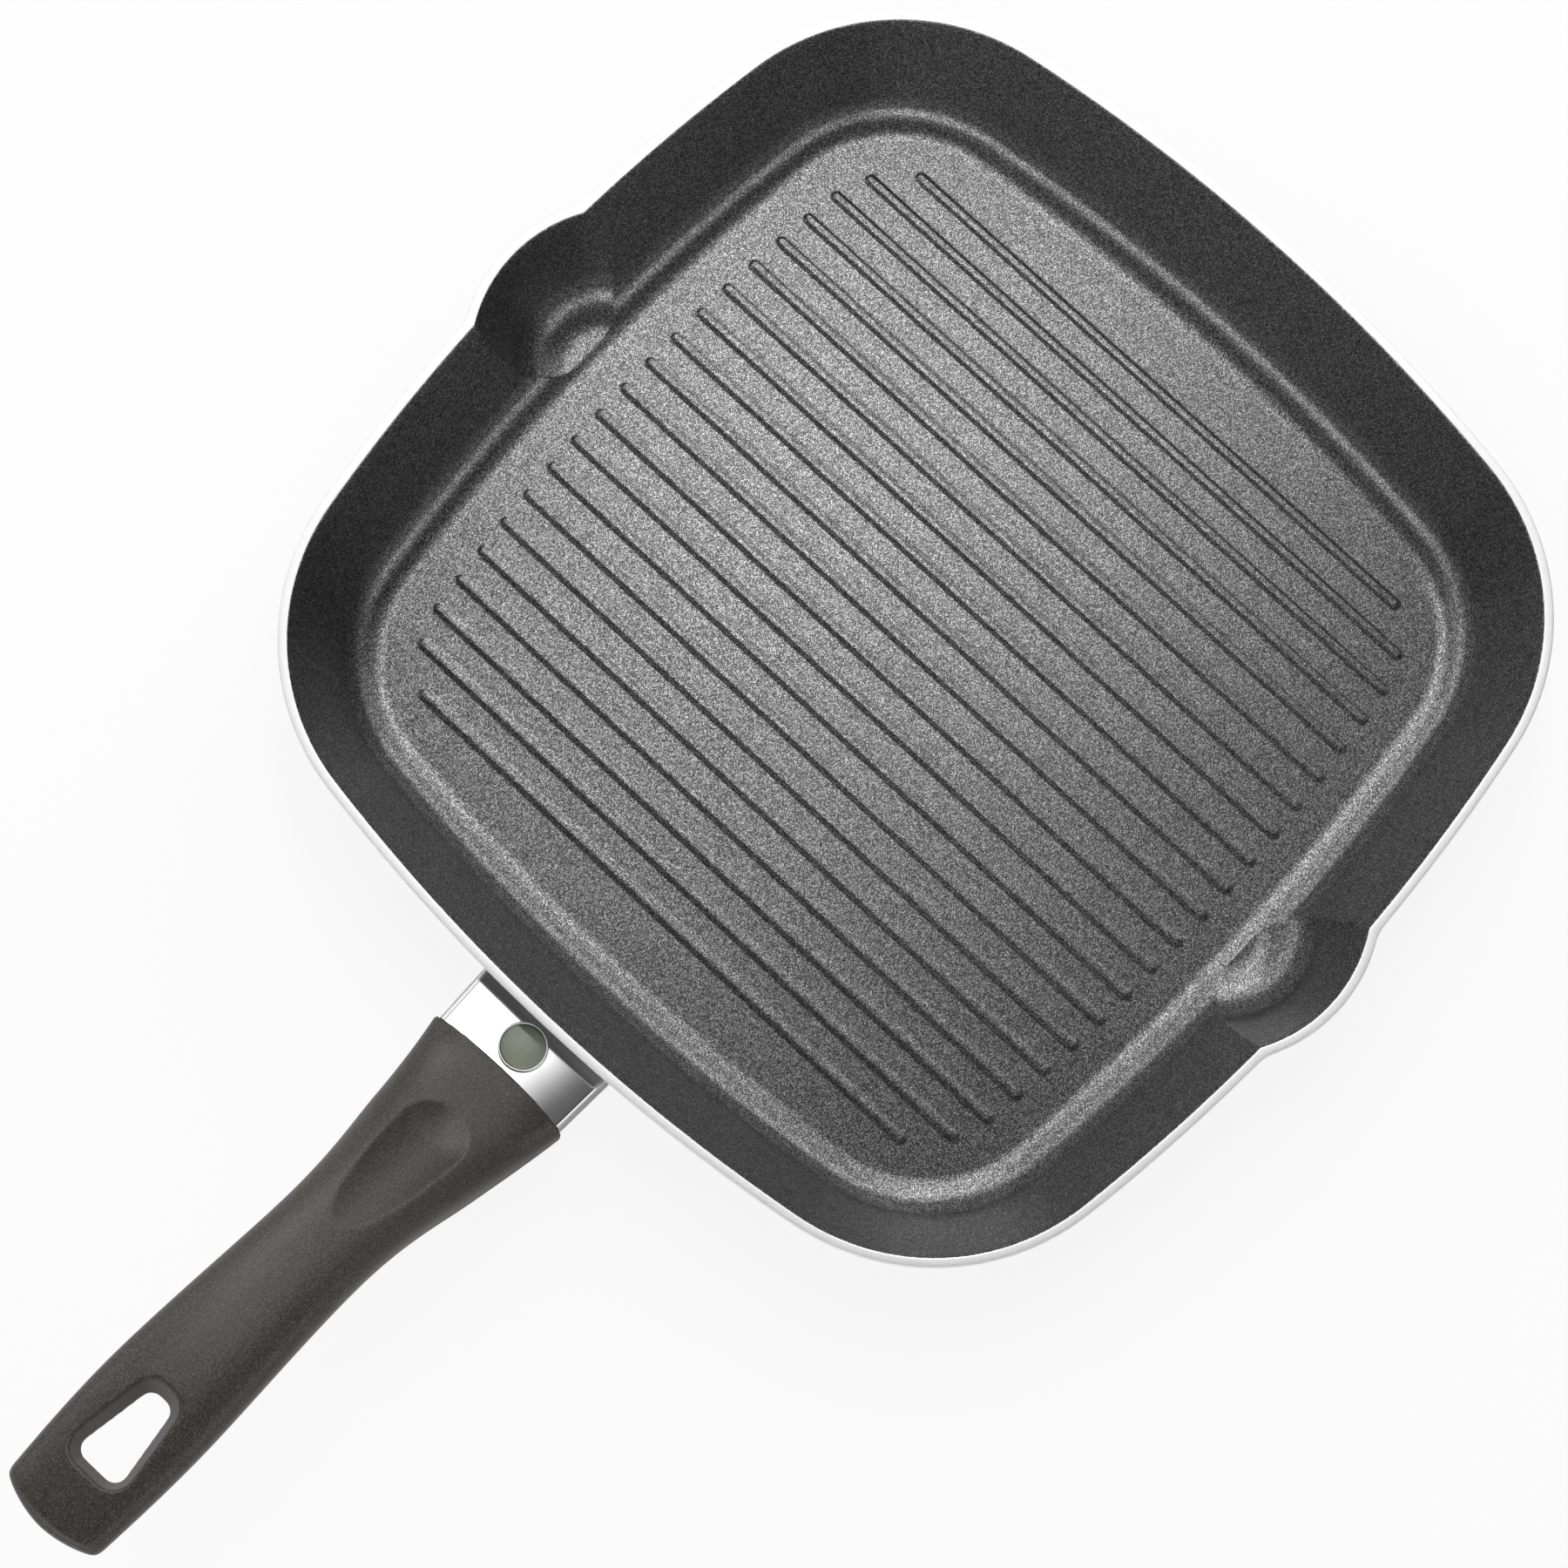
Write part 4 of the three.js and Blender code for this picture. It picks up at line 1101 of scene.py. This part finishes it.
SEAT = -TANG_THICKNESS / 2 - GAP - SCREW_SEAT
WASHER_TOP = SEAT - GAP
SCREW_HEAD_TOP = WASHER_TOP - WASHER_THICKNESS - SPRING_THICKNESS - 2 * GAP
SCREW_TIP = TANG_THICKNESS / 2 + SCREW_OVERRUN
AT_SCREW = HANDLE @ Matrix.Translation((GUARD_REACH + SCREW_SETBACK, 0, 0))


def handle_grip():
    front = GUARD_REACH - GRIP_SPIGOT
    spigot_rings = []
    for x in (front, GUARD_REACH + OVERSHOOT):
        spigot_rings.append([(x, y, z) for y, z in guard_outline(x, GUARD_SHEET + GAP)])
    grip = join(grip_blank(), lofted("spigot", spigot_rings, PHENOLIC, HANDLE))
    slot_end = GUARD_REACH + TANG_DEPTH + GAP
    shank = SCREW_DIAMETER / 2 + GAP
    cut(
        grip,
        bar("slot", front - OVERSHOOT, slot_end, TANG_WIDTH / 2 + GAP, TANG_THICKNESS / 2 + GAP),
        lofted_rod("room", BEZEL_NECK + GAP, 0, BEZEL_TOP + OVERSHOOT, AT_INDICATOR),
        lofted_rod("bore", shank, SEAT - OVERSHOOT, SCREW_TIP + GAP, AT_SCREW),
        lofted_rod("recess", WASHER_DIAMETER / 2 + GAP, -FRONT_THICKNESS, SEAT, AT_SCREW),
        scoop_cutter(),
        hole_cutter(),
    )
    modify(grip, "REMESH", mode="VOXEL", voxel_size=GRIP_VOXEL * MM, use_smooth_shade=True)
    modify(grip, "SMOOTH", factor=GRIP_SMOOTHING, iterations=GRIP_SMOOTHING_PASSES)
    apply_modifiers(grip)
    grip.data.materials.clear()
    grip.data.materials.append(PHENOLIC)
    grip.name = "moulded_grip"
    return grip


dress(handle_grip(), "grip", "handle_grip")


# Screw

def handle_screw():
    head, shank = SCREW_HEAD_DIAMETER / 2, SCREW_DIAMETER / 2
    bottom, edge = SCREW_HEAD_TOP - SCREW_HEAD, SCREW_HEAD_EDGE
    profile = [
        (0, bottom),
        *arc((head - edge, bottom + edge), edge, -90, 0, SCREW_EDGE_STEPS),
        (head, SCREW_HEAD_TOP),
        (shank, SCREW_HEAD_TOP),
        (shank, SCREW_TIP - SCREW_TIP_EDGE),
        (shank - SCREW_TIP_EDGE, SCREW_TIP),
        (0, SCREW_TIP),
    ]
    screw = turned("cross_screw", profile, ZINC, AT_SCREW)
    long, wide = CROSS_LENGTH / 2, CROSS_SLOT / 2
    slots = []
    for width, length in ((wide, long), (long, wide)):
        section = rectangle(width, length)
        rings = [[(x, y, z) for x, y in section] for z in (bottom - OVERSHOOT, bottom + CROSS_DEPTH)]
        slots.append(lofted("slot", rings, ZINC, AT_SCREW))
    return sharpen(cut(screw, *slots))


dress(handle_screw(), "fastener", "handle_screw")

for name, finish in (
    ("handle_bracket", MILL),
    ("heat_conductor", MILL),
    ("indicator_seal", SILICONE),
    ("flat_washer", ZINC),
    ("spring_washer", ZINC),
):
    solid = frame["nodes"][name]
    solid.data.materials.clear()
    solid.data.materials.append(finish)


# Studio, in metres

FLOOR_DROP = 0.0003
FLOOR_REACH = 14.0
FLOOR_WHITE = 0.95
FLOOR_GLOW = 0.87  # share of plain white in what the camera sees of the floor
FEATHER_START = 0.05  # distances from a light's middle, as shares of its size
FEATHER_END = 0.5
SKY_LEVELS = (  # how far up a direction points, and the level there
    (0.1, 0.58),
    (0.25, 1.04),
    (0.42, 1.04),
    (0.6, 0.19),
    (0.8, 0.16),
)
LOWER_RIGHT = (0.707, -0.707, 0.0)
SKY_DIM = 0.4  # the share of its level that the sky keeps there
SKY_DIM_END = 0.9  # how far that way a direction points where the share is reached
CAMERA_LENS = 81.23
CAMERA_SENSOR = 36.0
CAMERA_CLIP = 50.0
CAMERA_PLACE = Vector((-0.14983, -0.08378, 0.93002))
CAMERA_AIM = Vector((-0.049095, 0.000241, 0.0))
CAMERA_HEADING = math.radians(43.00183)  # the way across the floor that is up in the picture


def floor():
    """A white floor that the camera sees nearly plain, with only a trace of the pan's shadow."""
    finish = Finish("pale_floor", {"Base Color": (*grey(FLOOR_WHITE), 1), "Roughness": 0.9})
    tree = finish.tree
    path = tree.nodes.new("ShaderNodeLightPath")
    share = finish.node("Math", {0: path.outputs["Is Camera Ray"], 1: FLOOR_GLOW}, operation="MULTIPLY")
    glow = tree.nodes.new("ShaderNodeEmission")
    mix = tree.nodes.new("ShaderNodeMixShader")
    tree.links.new(share, mix.inputs[0])
    tree.links.new(finish.shader.outputs[0], mix.inputs[1])
    tree.links.new(glow.outputs[0], mix.inputs[2])
    tree.links.new(mix.outputs[0], tree.nodes["Material Output"].inputs["Surface"])
    skin = Skin(finish.material)
    reach, level = FLOOR_REACH / MM, -FLOOR_DROP / MM
    corners = [(x, y, level) for x, y in rectangle(reach, reach)]
    skin.add(corners, [(0, 1, 2, 3)], finish.material)
    plane = skin.object("floor")


def set_range(node, start, end, low, high):
    """Gives a map range node the range that it reads and the range that it returns."""
    values = {"From Min": start, "From Max": end, "To Min": low, "To Max": high}
    for key, value in values.items():
        node.inputs[key].default_value = value


def feather(light):
    """Fades a light from its middle out to its edges."""
    light.use_nodes = True
    tree = light.node_tree
    across = tree.nodes.new("ShaderNodeNewGeometry").outputs["Parametric"]
    apart = tree.nodes.new("ShaderNodeVectorMath")
    apart.operation = "DISTANCE"
    apart.inputs[1].default_value = (0.5, 0.5, 0.0)
    fade = tree.nodes.new("ShaderNodeMapRange")
    fade.interpolation_type = "SMOOTHSTEP"
    set_range(fade, FEATHER_START, FEATHER_END, 1.0, 0.0)
    tree.links.new(across, apart.inputs[0])
    tree.links.new(apart.outputs["Value"], fade.inputs["Value"])
    tree.links.new(fade.outputs["Result"], tree.nodes["Emission"].inputs["Strength"])


def softbox(name, place, aim, size, radiance):
    """A plain white light that only shows by what it lights and where it is mirrored."""
    light = bpy.data.lights.new(name, "AREA")
    light.shape = "RECTANGLE"
    light.size, light.size_y = size
    light.energy = radiance * math.pi * size[0] * size[1]
    lamp = bpy.data.objects.new(name, light)
    lamp.location = place
    lamp.rotation_euler = (Vector(aim) - Vector(place)).to_track_quat("-Z", "Y").to_euler()
    lamp.visible_camera = False
    bpy.context.scene.collection.objects.link(lamp)
    return light


def world():
    """A white band low down all round, weaker towards the lower right, under a dark room."""
    made = bpy.data.worlds.new("studio")
    made.use_nodes = True
    tree = made.node_tree
    place = tree.nodes.new("ShaderNodeTexCoord").outputs["Generated"]
    split = tree.nodes.new("ShaderNodeSeparateXYZ")
    height = tree.nodes.new("ShaderNodeValToRGB")
    side = tree.nodes.new("ShaderNodeVectorMath")
    side.operation = "DOT_PRODUCT"
    side.inputs[1].default_value = LOWER_RIGHT
    dim = tree.nodes.new("ShaderNodeMapRange")
    set_range(dim, 0.0, SKY_DIM_END, 1.0, SKY_DIM)
    tree.links.new(place, split.inputs[0])
    tree.links.new(place, side.inputs[0])
    tree.links.new(side.outputs["Value"], dim.inputs["Value"])
    tree.links.new(split.outputs["Z"], height.inputs["Fac"])
    tree.links.new(height.outputs["Color"], tree.nodes["Background"].inputs["Color"])
    tree.links.new(dim.outputs["Result"], tree.nodes["Background"].inputs["Strength"])
    set_stops(height, [(position, grey(level)) for position, level in SKY_LEVELS])
    bpy.context.scene.world = made


def camera():
    """Looks down at the pan from above its handle's side, as in the photograph."""
    data = bpy.data.cameras.new("camera")
    data.lens = CAMERA_LENS
    data.sensor_width = CAMERA_SENSOR
    data.clip_end = CAMERA_CLIP
    made = bpy.data.objects.new("camera", data)
    back = (CAMERA_PLACE - CAMERA_AIM).normalized()
    heading = Vector((math.cos(CAMERA_HEADING), math.sin(CAMERA_HEADING), 0))
    right = heading.cross(back).normalized()
    up = back.cross(right)
    made.matrix_world = Matrix((right, up, back)).transposed().to_4x4()
    made.location = CAMERA_PLACE
    bpy.context.scene.collection.objects.link(made)
    bpy.context.scene.camera = made


floor()
world()
feather(softbox("key", place=(0.19, 0.2, 0.9), aim=(0.19, 0.2, 0), size=(0.66, 0.62), radiance=3.5))
feather(softbox("core", place=(0.2, 0.15, 0.9), aim=(0.2, 0.15, 0), size=(0.34, 0.32), radiance=13.0))
softbox("left", place=(0.0, 0.74, 0.64), aim=(0, 0, 0), size=(1.2, 0.8), radiance=0.6)
softbox("right", place=(0.78, 0.1, 0.64), aim=(0, 0.1, 0), size=(1.0, 0.8), radiance=0.55)
softbox("back", place=(0.6, 0.6, 0.8), aim=(0, 0, 0), size=(0.6, 0.6), radiance=1.9)
softbox("front", place=(-1.1, -0.5, 0.5), aim=(0, 0, 0), size=(1.6, 0.45), radiance=1.2)
softbox("low", place=(0.1, -1.25, 0.5), aim=(0, 0, 0), size=(1.0, 0.45), radiance=0.9)
softbox("lead", place=(0.46, 0.1, 0.85), aim=(-0.15, 0, 0), size=(0.3, 0.4), radiance=0.5)
softbox("far", place=(1.25, 0.45, 0.55), aim=(-0.18, 0, 0.05), size=(1.0, 0.6), radiance=0.9)
camera()
bpy.context.scene.view_settings.view_transform = "Standard"
